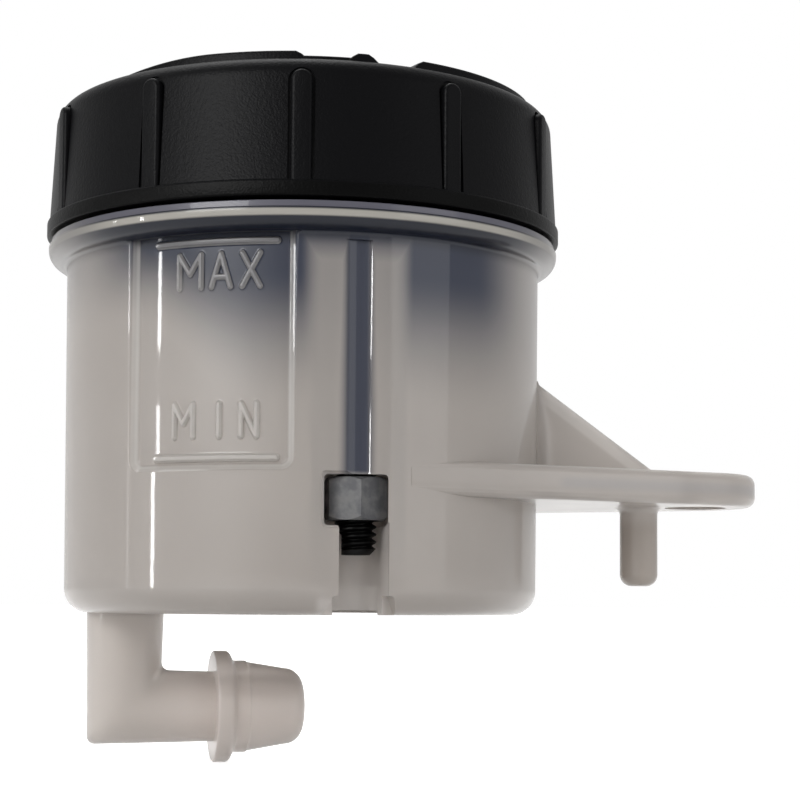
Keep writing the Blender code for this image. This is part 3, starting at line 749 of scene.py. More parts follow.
def cup_measures(place):
    """A point's measures on the cup by name, in degrees or millimetres."""
    tree = place.id_data
    parts = tree.nodes.new("ShaderNodeSeparateXYZ")
    tree.links.new(place, parts.inputs[0])
    aside = calculate("SUBTRACT", parts.outputs["X"], CUP_FOOT.x * MM)
    ahead = calculate("MULTIPLY", parts.outputs["Y"], -1.0)
    azimuth = calculate("DEGREES", calculate("ARCTAN2", aside, ahead))
    height = calculate("MULTIPLY_ADD", parts.outputs["Z"], 1.0 / MM, -CUP_FOOT.z)
    across = calculate("DIVIDE", aside, MM)
    depth = calculate("DIVIDE", ahead, MM)
    square = calculate("MULTIPLY", across, across)
    rise = GUSSET_TOP - PLATE_TOP
    run = GUSSET_TOE - CUP_RADIUS
    slope = math.hypot(rise, run)
    start = -(CUP_RADIUS * rise + GUSSET_TOP * run) / slope
    past_gusset = calculate("MULTIPLY_ADD", across, rise / slope, start)
    return {
        "azimuth": azimuth,
        "height": height,
        "reach": calculate("SQRT", calculate("MULTIPLY_ADD", depth, depth, square)),
        "across": across,
        "off_rubber": away_from(azimuth, RUBBER_AZIMUTH),
        "off_screw": away_from(azimuth, SCREW_AZIMUTH),
        "off_plate": away_from(height, (SEAT_HEIGHT + PLATE_TOP) / 2),
        "off_rim": away_from(height, FLANGE_RIM),
        "past_gusset": calculate("MULTIPLY_ADD", height, run / slope, past_gusset),
    }


def masked(at, mask):
    """The product of a mask's ramps at a point."""
    return product(*[ramp(at[measure], *span) for measure, *span in mask])


def layered(at, colour, layers):
    for mask, upper in layers:
        colour = mix_colours(masked(at, mask), colour, upper)
    return colour


def cloud(place, scale, detail=2.0):
    tree = place.id_data
    noise = tree.nodes.new("ShaderNodeTexNoise")
    noise.inputs["Scale"].default_value = scale
    noise.inputs["Detail"].default_value = detail
    tree.links.new(place, noise.inputs["Vector"])
    return noise.outputs["Fac"]


def add_bump(shader, height, strength, distance):
    bump = shader.id_data.nodes.new("ShaderNodeBump")
    bump.inputs["Strength"].default_value = strength
    bump.inputs["Distance"].default_value = distance * MM
    feed(bump, "Height", height)
    feed(shader, "Normal", bump.outputs["Normal"])


def dark_share(at, relief):
    """How strong the painted shade is where the black rubber and the long screw lie behind the wall."""
    above_foot = calculate("SUBTRACT", at["height"], ramp(at["azimuth"], *RUBBER_FOOT))
    rise = ramp(calculate("DIVIDE", above_foot, ramp(at["azimuth"], *RUBBER_FADE)), 0.0, 1.0)
    beside_boss = calculate("MAXIMUM", masked(at, BOSS_SIDES), masked(at, BOSS_TOP))
    cleared = ramp(relief, 0.0, 1.0, 1.0, RELIEF_CLEARS)
    rubber = product(rise, masked(at, RUBBER_SIDES), beside_boss, cleared)
    return calculate("MAXIMUM", rubber, masked(at, SCREW_BLUR))


def milky_plastic():
    """Cloudy polypropylene with painted shade, darker and bluer, where the black rubber or the screw lies
    close behind it, painted highlights on the window's raised strokes, and layers of painted light and shade
    on the pocket, outlet, bracket and flange.
    """
    material, shader = new_material("milky polypropylene")
    settle(shader, MILK_EVEN, 0.4, specular=0.05)
    shader.inputs["IOR"].default_value = 1.45
    shader.inputs["Coat Weight"].default_value = 0.35
    shader.inputs["Coat Roughness"].default_value = 0.05
    place = object_place(shader)
    at = cup_measures(place)
    relief = masked(at, RELIEF)
    dark = dark_share(at, relief)
    # Painted light on the outlet below the cup's foot
    outlet = mix_colours(masked(at, PAST_CORNER), ELBOW_PAINTED_LIGHT, SPIGOT_PAINTED_LIGHT)
    milk = mix_colours(cloud(place, 90.0), *MILK_TONES)
    # Painted highlight on the flanks of the raised strokes
    milk = mix_colours(product(relief, RELIEF_HIGHLIGHT_SHARE), milk, RELIEF_HIGHLIGHT_MILK)
    milk = layered(at, milk, (POCKET_LIGHT_LAYER, (UNDER_FOOT, outlet), *BRACKET_LIGHT_AND_SHADE))
    # Painted shade where the rubber and the screw lie behind the wall
    colour = mix_colours(dark, milk, RUBBER_SHOW_THROUGH_SHADE)
    # Painted shade under the cap and painted light along the flange's rim
    feed(shader, "Base Color", layered(at, colour, FLANGE_LIGHT_AND_SHADE))
    feed(shader, "Transmission Weight", ramp(dark, 0.0, 1.0, *SEE_THROUGH))
    add_bump(shader, cloud(place, 260.0), 0.25, 0.05)
    return material


def black_plastic():
    """Black plastic with a soft leather grain from the mould, and painted shade that makes the cap's base
    band blacker.
    """
    material, shader = new_material("grained black plastic")
    settle(shader, CAP_BLACK, 0.4, specular=0.037)
    place = object_place(shader)
    above_band = ramp(cup_measures(place)["height"], BAND_TOP - 0.3, BAND_TOP)
    feed(shader, "Base Color", mix_colours(above_band, BAND_SHADE_BLACK, CAP_BLACK))
    grain = calculate("MULTIPLY_ADD", cloud(place, 2300.0), 0.8, cloud(place, 5200.0))
    add_bump(shader, grain, 0.45, 0.07)
    return material


def black_rubber():
    """Matt moulded rubber, rougher in patches."""
    material, shader = new_material("black rubber")
    settle(shader, RUBBER_BLACK, 0.7, specular=0.3)
    place = object_place(shader)
    feed(shader, "Roughness", ramp(cloud(place, 700.0), 0.3, 0.7, 0.6, 0.8))
    add_bump(shader, cloud(place, 2600.0), 0.3, 0.03)
    return material


def steel(name, tones, roughness, metallic):
    """Plated or blackened steel with faint stains and turning marks."""
    dark, light = tones
    material, shader = new_material(name)
    settle(shader, light, roughness, metallic=metallic, specular=0.1)
    place = object_place(shader)
    stains = ramp(cloud(place, 900.0, 4.0), 0.35, 0.65)
    feed(shader, "Base Color", mix_colours(stains, dark, light))
    feed(shader, "Roughness", ramp(stains, 0.0, 1.0, roughness + 0.1, roughness - 0.05))
    add_bump(shader, cloud(place, 5000.0), 0.3, 0.01)
    return material


def white_acetal():
    """Smooth white plastic with a faint change of tone."""
    material, shader = new_material("white acetal")
    settle(shader, ACETAL_EVEN, 0.4)
    place = object_place(shader)
    feed(shader, "Base Color", mix_colours(cloud(place, 400.0), *ACETAL_TONES))
    add_bump(shader, cloud(place, 3000.0), 0.2, 0.01)
    return material


# Cup


def cup_outside():
    """Foot, wall, flange and neck as one solid of revolution."""
    foot_edge = CUP_RADIUS - CUP_DRAFT - FOOT_FILLET
    roll_centre = FLANGE_RADIUS - FLANGE_ROLL
    inner = FLANGE_RADIUS - FLANGE_STEP
    foot = [
        (0.0, FOOT_DEPTH, 0.0), (foot_edge - FOOT_WIDTH, FOOT_DEPTH, FOOT_INNER_EDGE),
        (foot_edge - FOOT_WIDTH, 0.0, FOOT_EDGE), (foot_edge, 0.0, 0.0),
    ]
    neck = [
        (FLANGE_RADIUS, FLANGE_FACE_TOP - FLANGE_EDGE, 0.0), (FLANGE_RADIUS, FLANGE_FACE_TOP, FLANGE_EDGE),
        (inner, FLANGE_FACE_TOP, FLANGE_STEP_EDGE), (inner, FLANGE_TOP, FLANGE_EDGE),
        (NECK_RADIUS, FLANGE_TOP, NECK_FOOT_EDGE), (NECK_RADIUS, NECK_TOP - NECK_CHAMFER, NECK_EDGE),
        (NECK_RADIUS - NECK_CHAMFER, NECK_TOP, NECK_EDGE), (0.0, NECK_TOP, 0.0),
    ]
    profile = rounded(foot, closed=False, steps=3)
    profile += arc((foot_edge, FOOT_FILLET), FOOT_FILLET, -90.0, 0.0, 12)[1:]
    profile += arc((roll_centre, CUP_HEIGHT - FLANGE_THROAT), FLANGE_THROAT, 180.0, 90.0, 5)
    profile += arc((roll_centre, CUP_HEIGHT + FLANGE_ROLL), FLANGE_ROLL, -90.0, 0.0, 12)[1:]
    return turned(profile + rounded(neck, closed=False, steps=3))


def cup_core():
    """The space inside the cup, open at the neck."""
    floor_radius = CAVITY_RADIUS - CUP_DRAFT
    profile = [(0.0, FLOOR_TOP)]
    profile += arc((floor_radius - FLOOR_FILLET, FLOOR_TOP + FLOOR_FILLET), FLOOR_FILLET, -90.0, 0.0, 10)
    profile += [(CAVITY_RADIUS, NECK_TOP + OVERCUT), (0.0, NECK_TOP + OVERCUT)]
    return turned(profile)


def arm_outline():
    """The bracket's plan: two lines tangent to the cup and to the round end."""
    root = CUP_RADIUS - CUP_DRAFT + ARM_LEDGE
    lean = math.asin((root - ARM_END_RADIUS) / ARM_END)
    turn = 90.0 - math.degrees(lean)
    rear = (root * math.sin(lean), root * math.cos(lean))
    end = arc((ARM_END, 0.0), ARM_END_RADIUS, -turn, turn, 48)
    return [(rear[0], -rear[1])] + end + [rear] + [(0.0, 0.0)]


def gusset():
    """The web between the cup's wall and the plate, drawn in X and Z, with its two hollow fillets."""
    wall = CUP_RADIUS - CUP_DRAFT
    level = PLATE_TOP - GUSSET_SINK
    past = GUSSET_TOE + GUSSET_PAST_TOE
    above = GUSSET_TOP + GUSSET_ABOVE
    outline = rounded([
        (wall - GUSSET_ROOT, level - GUSSET_ROOT, 0.0), (past, level - GUSSET_ROOT, 0.0),
        (past, level, 0.0), (GUSSET_TOE, level, TOE_FILLET), (wall, GUSSET_TOP, TOP_FILLET),
        (wall, above, 0.0), (wall - GUSSET_ROOT, above, 0.0),
    ])
    half = GUSSET_THICKNESS / 2
    return stand_across(extruded(outline, -half, half, GUSSET_EDGE))


def gusset_root(side):
    """The hollow blend between the gusset's side and the cup's wall, narrowing up to its top."""
    inner = CUP_RADIUS - CUP_DRAFT - GUSSET_ROOT
    half = GUSSET_THICKNESS / 2
    slope = (GUSSET_TOE - inner) / (GUSSET_TOP - PLATE_TOP)
    tall = GUSSET_TOP - PLATE_TOP + GUSSET_ROOT
    sections = []
    for step in range(ROOT_STEPS + 1):
        height = PLATE_TOP - GUSSET_ROOT + tall * step / ROOT_STEPS
        room = ROOT_SHARE * slope * (GUSSET_TOP - height)
        blend = max(ROOT_LEAST, min(ROOT_BLEND, room))
        wall = math.sqrt(CUP_RADIUS ** 2 - (half + blend) ** 2)
        section = [(inner, half - ROOT_SINK), (inner, half + blend)]
        section += arc((wall + blend, half + blend), blend, 180.0, 270.0, 10)
        section += [(wall + blend, half - ROOT_SINK)]
        sections.append([(x, side * y, height) for x, y in section])
    return lofted(sections)


def locating_pin():
    foot = SEAT_HEIGHT - PIN_LENGTH
    profile = [(0.0, foot)]
    profile += arc((PIN_RADIUS - PIN_TIP, foot + PIN_TIP), PIN_TIP, -90.0, 0.0)
    profile += arc((PIN_RADIUS + PIN_FILLET, SEAT_HEIGHT - PIN_FILLET), PIN_FILLET, 180.0, 90.0)
    profile += [(PIN_RADIUS + PIN_FILLET, SEAT_HEIGHT + SINK), (0.0, SEAT_HEIGHT + SINK)]
    return move(turned(profile, MEDIUM), (PIN_RUN, 0.0, 0.0))


def elbow_corner():
    return Vector((TUBE_X, 0.0, -ELBOW_DROP))


def elbow_leg(length):
    """A point on the outlet's level leg, at a distance from its corner."""
    return elbow_corner() + Vector((math.cos(ELBOW_YAW), math.sin(ELBOW_YAW), 0.0)) * length


def elbow_outside():
    top = Vector((TUBE_X, 0.0, (FOOT_DEPTH + FLOOR_TOP) / 2))
    radii = (TUBE_RADIUS, TUBE_RADIUS - TUBE_DRAFT, TUBE_RADIUS - 2 * TUBE_DRAFT)
    return mitred_pipe(top, elbow_corner(), elbow_leg(ARM_LENGTH + COLLAR_WIDTH / 2), radii, ELBOW_EDGE)


def elbow_bore():
    top = Vector((TUBE_X, 0.0, FLOOR_TOP + FLOOR_FILLET))
    mouth = elbow_leg(ARM_LENGTH + COLLAR_WIDTH + COLLAR_TAPER + SPIGOT_LENGTH + OVERCUT)
    return mitred_pipe(top, elbow_corner(), mouth, (BORE_RADIUS, BORE_RADIUS, BORE_RADIUS))


def spigot():
    """Collar and hose spigot, turned about Z and laid along the outlet's level leg."""
    front = ARM_LENGTH + COLLAR_WIDTH
    root = front + COLLAR_TAPER
    step = root + SPIGOT_LAND
    tip = root + SPIGOT_LENGTH
    land_radius = SPIGOT_RADIUS + SPIGOT_STEP
    end_radius = SPIGOT_RADIUS - SPIGOT_TAPER
    back_edge, front_edge = COLLAR_EDGES
    root_edge, land_edge, step_edge = SPIGOT_EDGES
    profile = rounded([
        (0.0, ARM_LENGTH, 0.0), (COLLAR_RADIUS, ARM_LENGTH, back_edge), (COLLAR_RADIUS, front, front_edge),
        (land_radius, root, root_edge), (land_radius, step, land_edge),
        (SPIGOT_RADIUS, step + SPIGOT_STEP, step_edge), (end_radius, tip - SPIGOT_NOSE, 0.0),
    ], closed=False)
    profile += arc((end_radius - SPIGOT_NOSE, tip - SPIGOT_NOSE), SPIGOT_NOSE, 0.0, 90.0)[1:]
    lay = Matrix.Rotation(ELBOW_YAW, 3, "Z") @ Matrix.Rotation(math.radians(90.0), 3, "Y")
    bm = rotated(turned(profile + [(0.0, tip)], MEDIUM), lay @ Matrix.Rotation(THREAD_ANGLE, 3, "Z"))
    return move(bm, elbow_corner())


def along(azimuth):
    return math.radians(azimuth) * CUP_RADIUS


# Each letter's strokes in a unit box
LETTERS = {
    "M": (((0, 0), (0, 1)), ((0, 1), (0.5, 0.42)), ((0.5, 0.42), (1, 1)), ((1, 1), (1, 0))),
    "A": (((0, 0), (0.5, 1)), ((0.5, 1), (1, 0)), ((0.2, 0.3), (0.8, 0.3))),
    "X": (((0, 0), (1, 1)), ((0, 1), (1, 0))),
    "I": (((0.5, 0), (0.5, 1)),),
    "N": (((0, 0), (0, 1)), ((0, 1), (1, 0)), ((1, 0), (1, 1))),
}

# Each word's foot, top and letters, with their left and right azimuths in degrees
WORDS = (
    (29.95, 33.8, (("M", -29.9, -22.6), ("A", -21.8, -15.5), ("X", -14.5, -8.65))),
    (16.06, 19.8, (("M", -30.8, -24.3), ("I", -19.45, -18.05), ("N", -14.5, -9.2))),
)


def raised_strokes():
    """Every stroke on the window's floor: its ends in (arc length, height), its width, rise and edge."""
    middle = along(BAR_AZIMUTH)
    reach = (BAR_LENGTH - BAR_WIDTH) / 2
    strokes = [
        ((middle - reach, level), (middle + reach, level), BAR_WIDTH, BAR_RISE, BAR_EDGE)
        for level in (MAX_LEVEL, MIN_LEVEL)
    ]
    half = STROKE_WIDTH / 2
    for foot, top, letters in WORDS:
        low = foot + half
        tall = top - foot - STROKE_WIDTH
        for letter, left_azimuth, right_azimuth in letters:
            left = along(left_azimuth) + half
            wide = along(right_azimuth) - half - left
            for ends in LETTERS[letter]:
                start, end = [(left + wide * x, low + tall * y) for x, y in ends]
                strokes.append((start, end, STROKE_WIDTH, STROKE_RISE, STROKE_EDGE))
    return strokes


def window_radius(run, level):
    """The sunk window's radius at each (arc length, height): border, floor, bars and letters."""
    half = WINDOW_WIDTH / 2
    aside = np.abs(run - along(math.degrees(WINDOW_AZIMUTH)))
    past_side = aside - (half - WINDOW_CORNER)
    past_sill = (WINDOW_SILL + WINDOW_CORNER) - level
    inside = np.minimum(half - aside, level - WINDOW_SILL)
    in_corner = (past_side > 0.0) & (past_sill > 0.0)
    inside = np.where(in_corner, WINDOW_CORNER - np.hypot(past_side, past_sill), inside)
    share = np.minimum(inside / WINDOW_BORDER, 1.0)
    bend = 2.0 * BORDER_ROUND * (1.0 - BORDER_ROUND)
    sweep = (1.0 - share - BORDER_ROUND / 2) / (1.0 - BORDER_ROUND)
    sweep = np.where(share > 1.0 - BORDER_ROUND, (1.0 - share) ** 2 / bend, sweep)
    sweep = np.where(share < BORDER_ROUND, 1.0 - np.maximum(share, 0.0) ** 2 / bend, sweep)
    sweep = np.where(share < 0.0, 1.0 - WINDOW_FLARE * share, sweep)
    radius = np.minimum(WINDOW_FLOOR + WINDOW_DEPTH * sweep, CUP_RADIUS + OVERCUT / 2)
    rise = np.zeros_like(run)
    for start, end, width, height, edge in raised_strokes():
        span = Vector(end) - Vector(start)
        share = ((run - start[0]) * span.x + (level - start[1]) * span.y) / span.length_squared
        share = np.clip(share, 0.0, 1.0)
        away = np.hypot(run - start[0] - share * span.x, level - start[1] - share * span.y)
        rise = np.maximum(rise, height * smooth_step((width / 2 - away) / edge))
    return np.maximum(radius, WINDOW_FLOOR + rise)


def spaced(stops, steps):
    """Places from each stop to the next, at about the step given for that stretch."""
    places = []
    for low, high, step in zip(stops, stops[1:], steps):
        places.append(np.linspace(low, high, max(2, round((high - low) / step) + 1))[:-1])
    return np.append(np.concatenate(places), stops[-1])


def window():
    """A cutter whose inner face is the window's whole relief, finer where bars and letters stand."""
    middle = along(math.degrees(WINDOW_AZIMUTH))
    half = WINDOW_WIDTH / 2 + WINDOW_BORDER
    border = WINDOW_WIDTH / 2 - WINDOW_BORDER - BORDER_MARGIN
    bar_half = BAR_LENGTH / 2 + BAR_MARGIN
    bar_middle = along(BAR_AZIMUTH)
    run_stops = (
        middle - half, middle - border, bar_middle - bar_half,
        bar_middle + bar_half, middle + border, middle + half,
    )
    runs = spaced(run_stops, (COARSE_CELL, COARSE_CELL, FINE_CELL, COARSE_CELL, COARSE_CELL))
    upper_word, lower_word = WORDS
    level_stops = (
        WINDOW_SILL - WINDOW_BORDER, MIN_LEVEL - BAR_BELOW, lower_word[1] + WORD_MARGIN,
        upper_word[0] - WORD_MARGIN, CUP_HEIGHT - WINDOW_HEAD_GAP,
    )
    levels = spaced(level_stops, (COARSE_CELL, FINE_CELL, SPARSE_CELL, FINE_CELL))
    run, level = np.meshgrid(runs, levels)
    radius = window_radius(run, level)
    azimuth = run / CUP_RADIUS
    places = np.stack([radius * np.sin(azimuth), -radius * np.cos(azimuth), level], axis=2)
    bm = bmesh.new()
    grid = [[bm.verts.new(place) for place in row] for row in places]
    for lower, upper in zip(grid, grid[1:]):
        bridge(bm, lower, upper, closed=False)
    bmesh.ops.triangulate(bm, faces=bm.faces[:])
    back = CUP_RADIUS + 2 * OVERCUT
    foot = [bm.verts.new(out_at(value / CUP_RADIUS, back, levels[0])) for value in runs]
    head = [bm.verts.new(out_at(value / CUP_RADIUS, back, levels[-1])) for value in runs]
    for lower, upper in ((foot, head), (grid[0], foot), (grid[-1], head)):
        bridge(bm, lower, upper, closed=False)
    for side in (0, -1):
        bm.faces.new([row[side] for row in grid] + [head[side], foot[side]])
    return bm


def flute():
    """The shallow upright groove in front of the lock screw: a hollow floor, a flat flank at its right."""
    floor = CUP_RADIUS - FLUTE_DEPTH
    outline = arc((0.0, -floor - FLUTE_RADIUS), FLUTE_RADIUS, 180.0, 90.0 - FLUTE_ARC, 32)
    reach = 2 * FLUTE_DEPTH
    aside, ahead = outline[-1]
    outline.append((aside + reach * math.cos(FLANK_TILT), ahead - reach * math.sin(FLANK_TILT)))
    outline.append((outline[-1][0], ahead - FLUTE_RADIUS))
    return extruded(outline, POCKET_ROOF - SEAT_GAP, FLUTE_TOP)


def nut_pocket():
    """The pocket's mouth, square to the front, its rim flared at the wall."""
    axis = out_at(BOSS_AZIMUTH, SCREW_RUN)
    middle = (POCKET_FLOOR + POCKET_ROOF) / 2
    tall = (POCKET_ROOF - POCKET_FLOOR) / 2
    front = math.sqrt(CUP_RADIUS ** 2 - axis.x ** 2)
    stations = (
        (axis.y, 0.0), (POCKET_RIM_DEPTH - front, 0.0),
        (-front - POCKET_RIM_PROUD, POCKET_RIM), (-front - POCKET_REACH, POCKET_RIM),
    )
    signs = ((-1.0, -1.0), (1.0, -1.0), (1.0, 1.0), (-1.0, 1.0))
    sections = []
    for y, grow in stations:
        half = POCKET_WIDTH / 2 + grow
        side = tall + grow
        corners = [(half * right, side * up, POCKET_CORNER) for right, up in signs]
        sections.append([(axis.x + x, y, middle + z) for x, z in rounded(corners, steps=4)])
    return lofted(sections)


def screw_slot():
    """The open channel from the pocket down to the foot, round behind the screw."""
    half = SLOT_WIDTH / 2
    outline = arc((0.0, -SCREW_RUN), half, 0.0, 180.0, 24)
    outline += [(-half, -CUP_RADIUS - OVERCUT), (half, -CUP_RADIUS - OVERCUT)]
    return extruded(outline, -OVERCUT, POCKET_FLOOR + SEAT_GAP)


def foot_notch():
    """The flared opening of that channel in the cup's foot."""
    low = NOTCH_WIDTH / 2 + NOTCH_FLARE
    high = NOTCH_WIDTH / 2
    outline = rounded([
        (-low, -OVERCUT, 0.0), (low, -OVERCUT, 0.0), (low, 0.0, 0.0), (high, NOTCH_HEIGHT, NOTCH_EDGE),
        (-high, NOTCH_HEIGHT, NOTCH_EDGE), (-low, 0.0, 0.0),
    ])
    return stand_across(extruded(outline, CUP_RADIUS - NOTCH_INSET, CUP_RADIUS + OVERCUT))


def at_screw(name, bm):
    """A shape drawn about the lock screw's axis, set in its place in the wall."""
    return shape(name, move(bm, (0.0, -SCREW_RUN, 0.0)), BOSS_AZIMUTH)


def build_cup(material):
    boss = at_screw("boss", round_bar(BOSS_RADIUS, 0.0, NECK_TOP + 2 * OVERCUT))
    core = combined(shape("core", cup_core()), [("DIFFERENCE", boss)])
    ridge = helix_ridge(NECK_RADIUS, NECK_RADIUS + THREAD_DEPTH, THREAD_FOOT, NECK_TURNS)
    bolt = move(round_bar(BOLT_RADIUS, SEAT_HEIGHT - OVERCUT, PLATE_TOP + OVERCUT), (ARM_REACH, 0.0, 0.0))
    joined = [
        shape("arm", extruded(arm_outline(), SEAT_HEIGHT, PLATE_TOP, PLATE_EDGE)),
        shape("gusset", gusset()),
        shape("gusset root front", gusset_root(-1.0)),
        shape("gusset root rear", gusset_root(1.0)),
        shape("pin", locating_pin()),
        shape("elbow", elbow_outside()),
        shape("spigot", spigot()),
        shape("neck thread", ridge),
    ]
    cut = [
        shape("window", window()),
        core,
        at_screw("screw bore", round_bar(SCREW_BORE, POCKET_FLOOR, NECK_TOP + OVERCUT)),
        at_screw("nut seat", hex_bar(NUT_FLATS + 2 * SEAT_GAP, POCKET_FLOOR, POCKET_ROOF)),
        shape("nut pocket", nut_pocket()),
        shape("screw slot", screw_slot(), BOSS_AZIMUTH),
        shape("foot notch", foot_notch(), BOSS_AZIMUTH),
        shape("flute", flute(), FLUTE_AZIMUTH),
        shape("elbow bore", elbow_bore()),
        shape("bolt hole", bolt),
    ]
    steps = [("UNION", tool) for tool in joined] + [("DIFFERENCE", tool) for tool in cut]
    cup = combined(shape("milky_cup", cup_outside()), steps)
    piece(cup, material, "reservoir", "reservoir_body")
    true_walls(cup.data, (
        (1.0, FOOT_FILLET, CUP_HEIGHT - FLANGE_THROAT, CUP_RADIUS - CUP_DRAFT, CUP_RADIUS),
        (-1.0, FLOOR_TOP + FLOOR_FILLET, NECK_TOP + OVERCUT, CAVITY_RADIUS - CUP_DRAFT, CAVITY_RADIUS),
        (1.0, FLANGE_TOP, NECK_TOP, NECK_RADIUS, NECK_RADIUS),
    ))


# Cap


def cap_outside():
    """Band, drafted wall and rounded crown."""
    crown_centre = CAP_RADIUS - CAP_CROWN
    profile = rounded([
        (0.0, CAP_FOOT, 0.0), (BAND_RADIUS, CAP_FOOT, BAND_EDGE),
        (BAND_RADIUS, BAND_TOP - BAND_SLOPE, BAND_EDGE), (CAP_WALL_FOOT, BAND_TOP, BAND_CORNER),
        (CAP_RADIUS, CAP_HEIGHT - CAP_CROWN, 0.0),
    ], closed=False, steps=4)
    profile += arc((crown_centre, CAP_HEIGHT - CAP_CROWN), CAP_CROWN, 0.0, 90.0, 12)[1:]
    profile += [(0.0, CAP_HEIGHT)]
    return turned(profile, RIB_FACETS * RIB_COUNT)


def rib_outline(half, foot):
    """A rib's front in X and Z, round at its top."""
    centre = CAP_HEIGHT - RIB_TOP - RIB_WIDTH / 2
    return arc((0.0, centre), half, 0.0, 180.0, 20) + [(-half, foot), (half, foot)]


def rib():
    """One grip rib, round at its top, standing out to the band's own radius."""
    outline = rib_outline(RIB_WIDTH / 2, BAND_TOP - SINK)
    return stand_across(extruded(outline, CAP_RADIUS - 3 * SINK, CAP_RADIUS + RIB_RISE, RIB_EDGE, both=False))


def rib_groove():
    """The fine groove that the rib stands in."""
    outline = rib_outline(RIB_WIDTH / 2 + GROOVE_WIDTH, BAND_TOP + GROOVE_GAP)
    bm = stand_across(extruded(outline, CAP_RADIUS - GROOVE_DEPTH, CAP_RADIUS + RIB_RISE + OVERCUT))
    for corner in bm.verts:
        share = (CAP_HEIGHT - CAP_CROWN - corner.co.z) / (CAP_HEIGHT - CAP_CROWN - BAND_TOP)
        corner.co.y -= (CAP_WALL_FOOT - CAP_RADIUS) * share
    return bm


def land(arc_ends, rise=LAND_HEIGHT, inset=0.0, slope=LAND_SLOPE):
    """One raised arc on the cap's top, sloping down at both ends."""
    start, end = [math.radians(angle) for angle in arc_ends]
    length = (end - start) * (LAND_INNER + LAND_OUTER) / 2
    steps = max(LAND_LEAST_STEPS, round(length / LAND_STEP))
    inner = LAND_INNER + inset
    outer = LAND_OUTER - inset
    sections = []
    for step in range(steps + 1):
        travel = length * step / steps
        fade = smooth_step(min(travel / slope, (length - travel) / LAND_SLOPE))
        top = (rise + LAND_SINK) * fade - LAND_SINK
        section = rounded([
            (inner, -SINK, 0.0), (inner, top, LAND_EDGE), (outer, top, LAND_EDGE), (outer, -SINK, 0.0),
        ], steps=4)
        angle = start + (end - start) * step / steps
        sections.append([out_at(angle, radius, CAP_HEIGHT + height) for radius, height in section])
    return lofted(sections)


def build_cap(material):
    steps = []
    for number in range(RIB_COUNT):
        turn = RIB_START + math.tau * number / RIB_COUNT
        steps.append(("DIFFERENCE", shape(f"groove {number}", rib_groove(), turn)))
        steps.append(("UNION", shape(f"rib {number}", rib(), turn)))
    for number, arc_ends in enumerate(LAND_ARCS):
        steps.append(("UNION", shape(f"land {number}", land(arc_ends))))
    steps.append(("UNION", shape("long land", land(LONG_LAND, slope=LONG_LAND_SLOPE))))
    steps.append(("UNION", shape("low land", land(LOW_LAND, LOW_LAND_HEIGHT, LOW_LAND_INSET))))
    bore = round_bar(CAP_BORE, CAP_FOOT - OVERCUT, CAP_CEILING, FINE)
    steps.append(("DIFFERENCE", shape("bore", bore)))
    ridge = helix_ridge(CAP_BORE, NECK_RADIUS + THREAD_CLEARANCE, THREAD_FOOT + PITCH / 2, CAP_TURNS)
    steps.append(("UNION", shape("cap thread", ridge)))
    cap = combined(shape("screw_cap", cap_outside()), steps)
    piece(cap, material, "cap", "cap")


# Inner pieces


def build_bellows(material):
    """Flange, folded wall and a stepped floor in one thickness of rubber."""
    foot = NECK_TOP + SEAT_GAP
    steps = FOLD_STEPS * BELLOWS_FOLDS
    outside = []
    inside = []
    for step in range(steps + 1):
        turn = math.tau * BELLOWS_FOLDS * step / steps
        radius = BELLOWS_CREST - BELLOWS_FOLD / 2 * (1.0 - math.cos(turn))
        height = foot - BELLOWS_PITCH * BELLOWS_FOLDS * step / steps
        outside.append((radius, height))
        inside.append((radius - RUBBER, height))
    floor = outside[-1][1]
    button = BELLOWS_CREST / 3
    outer = rounded([
        (BELLOWS_CREST, floor, 0.0), (BELLOWS_CREST, floor - RUBBER, FLOOR_EDGE),
        (button, floor - RUBBER, BUTTON_EDGE), (button - RUBBER, floor, BUTTON_EDGE), (0.0, floor, 0.0),
    ], closed=False)
    rise = floor + RUBBER / 2
    inner = rounded([
        (BELLOWS_CREST - RUBBER, rise, 0.0), (button, rise, BUTTON_EDGE),
        (button - RUBBER, rise + RUBBER, BUTTON_EDGE), (0.0, rise + RUBBER, 0.0),
    ], closed=False)
    top = foot + FLANGE_RUBBER
    profile = list(reversed(outside[:-1] + outer))
    profile += [(NECK_RADIUS, foot), (NECK_RADIUS, top), (BELLOWS_CREST - RUBBER, top)]
    profile += inside[:-2] + inner
    bellows = shape("bellows", turned(profile, BELLOWS_FACETS))
    piece(bellows, material, "reservoir", "diaphragm", crease=50.0)


def thread_rings(low, high):
    """Rings of a threaded rod: its radius follows a trapezoid wave that climbs once a turn."""
    steps = round((high - low) / SCREW_PITCH * SCREW_STEPS)
    tip = SCREW_RADIUS - SCREW_CHAMFER
    flank_foot, flank_span = THREAD_FLANK
    sections = []
    for step in range(steps + 1):
        height = low + (high - low) * step / steps
        ends = tip + min(height - low, high - height)
        section = []
        for spoke in range(SCREW_FACETS):
            phase = (height / SCREW_PITCH - spoke / SCREW_FACETS) % 1.0
            flank = min(1.0, max(0.0, (flank_foot - abs(2.0 * phase - 1.0)) / flank_span))
            radius = min(SCREW_CORE + (SCREW_RADIUS - SCREW_CORE) * flank, ends)
            section.append(out_at(math.tau * spoke / SCREW_FACETS, radius, height))
        sections.append(section)
    return lofted(sections)


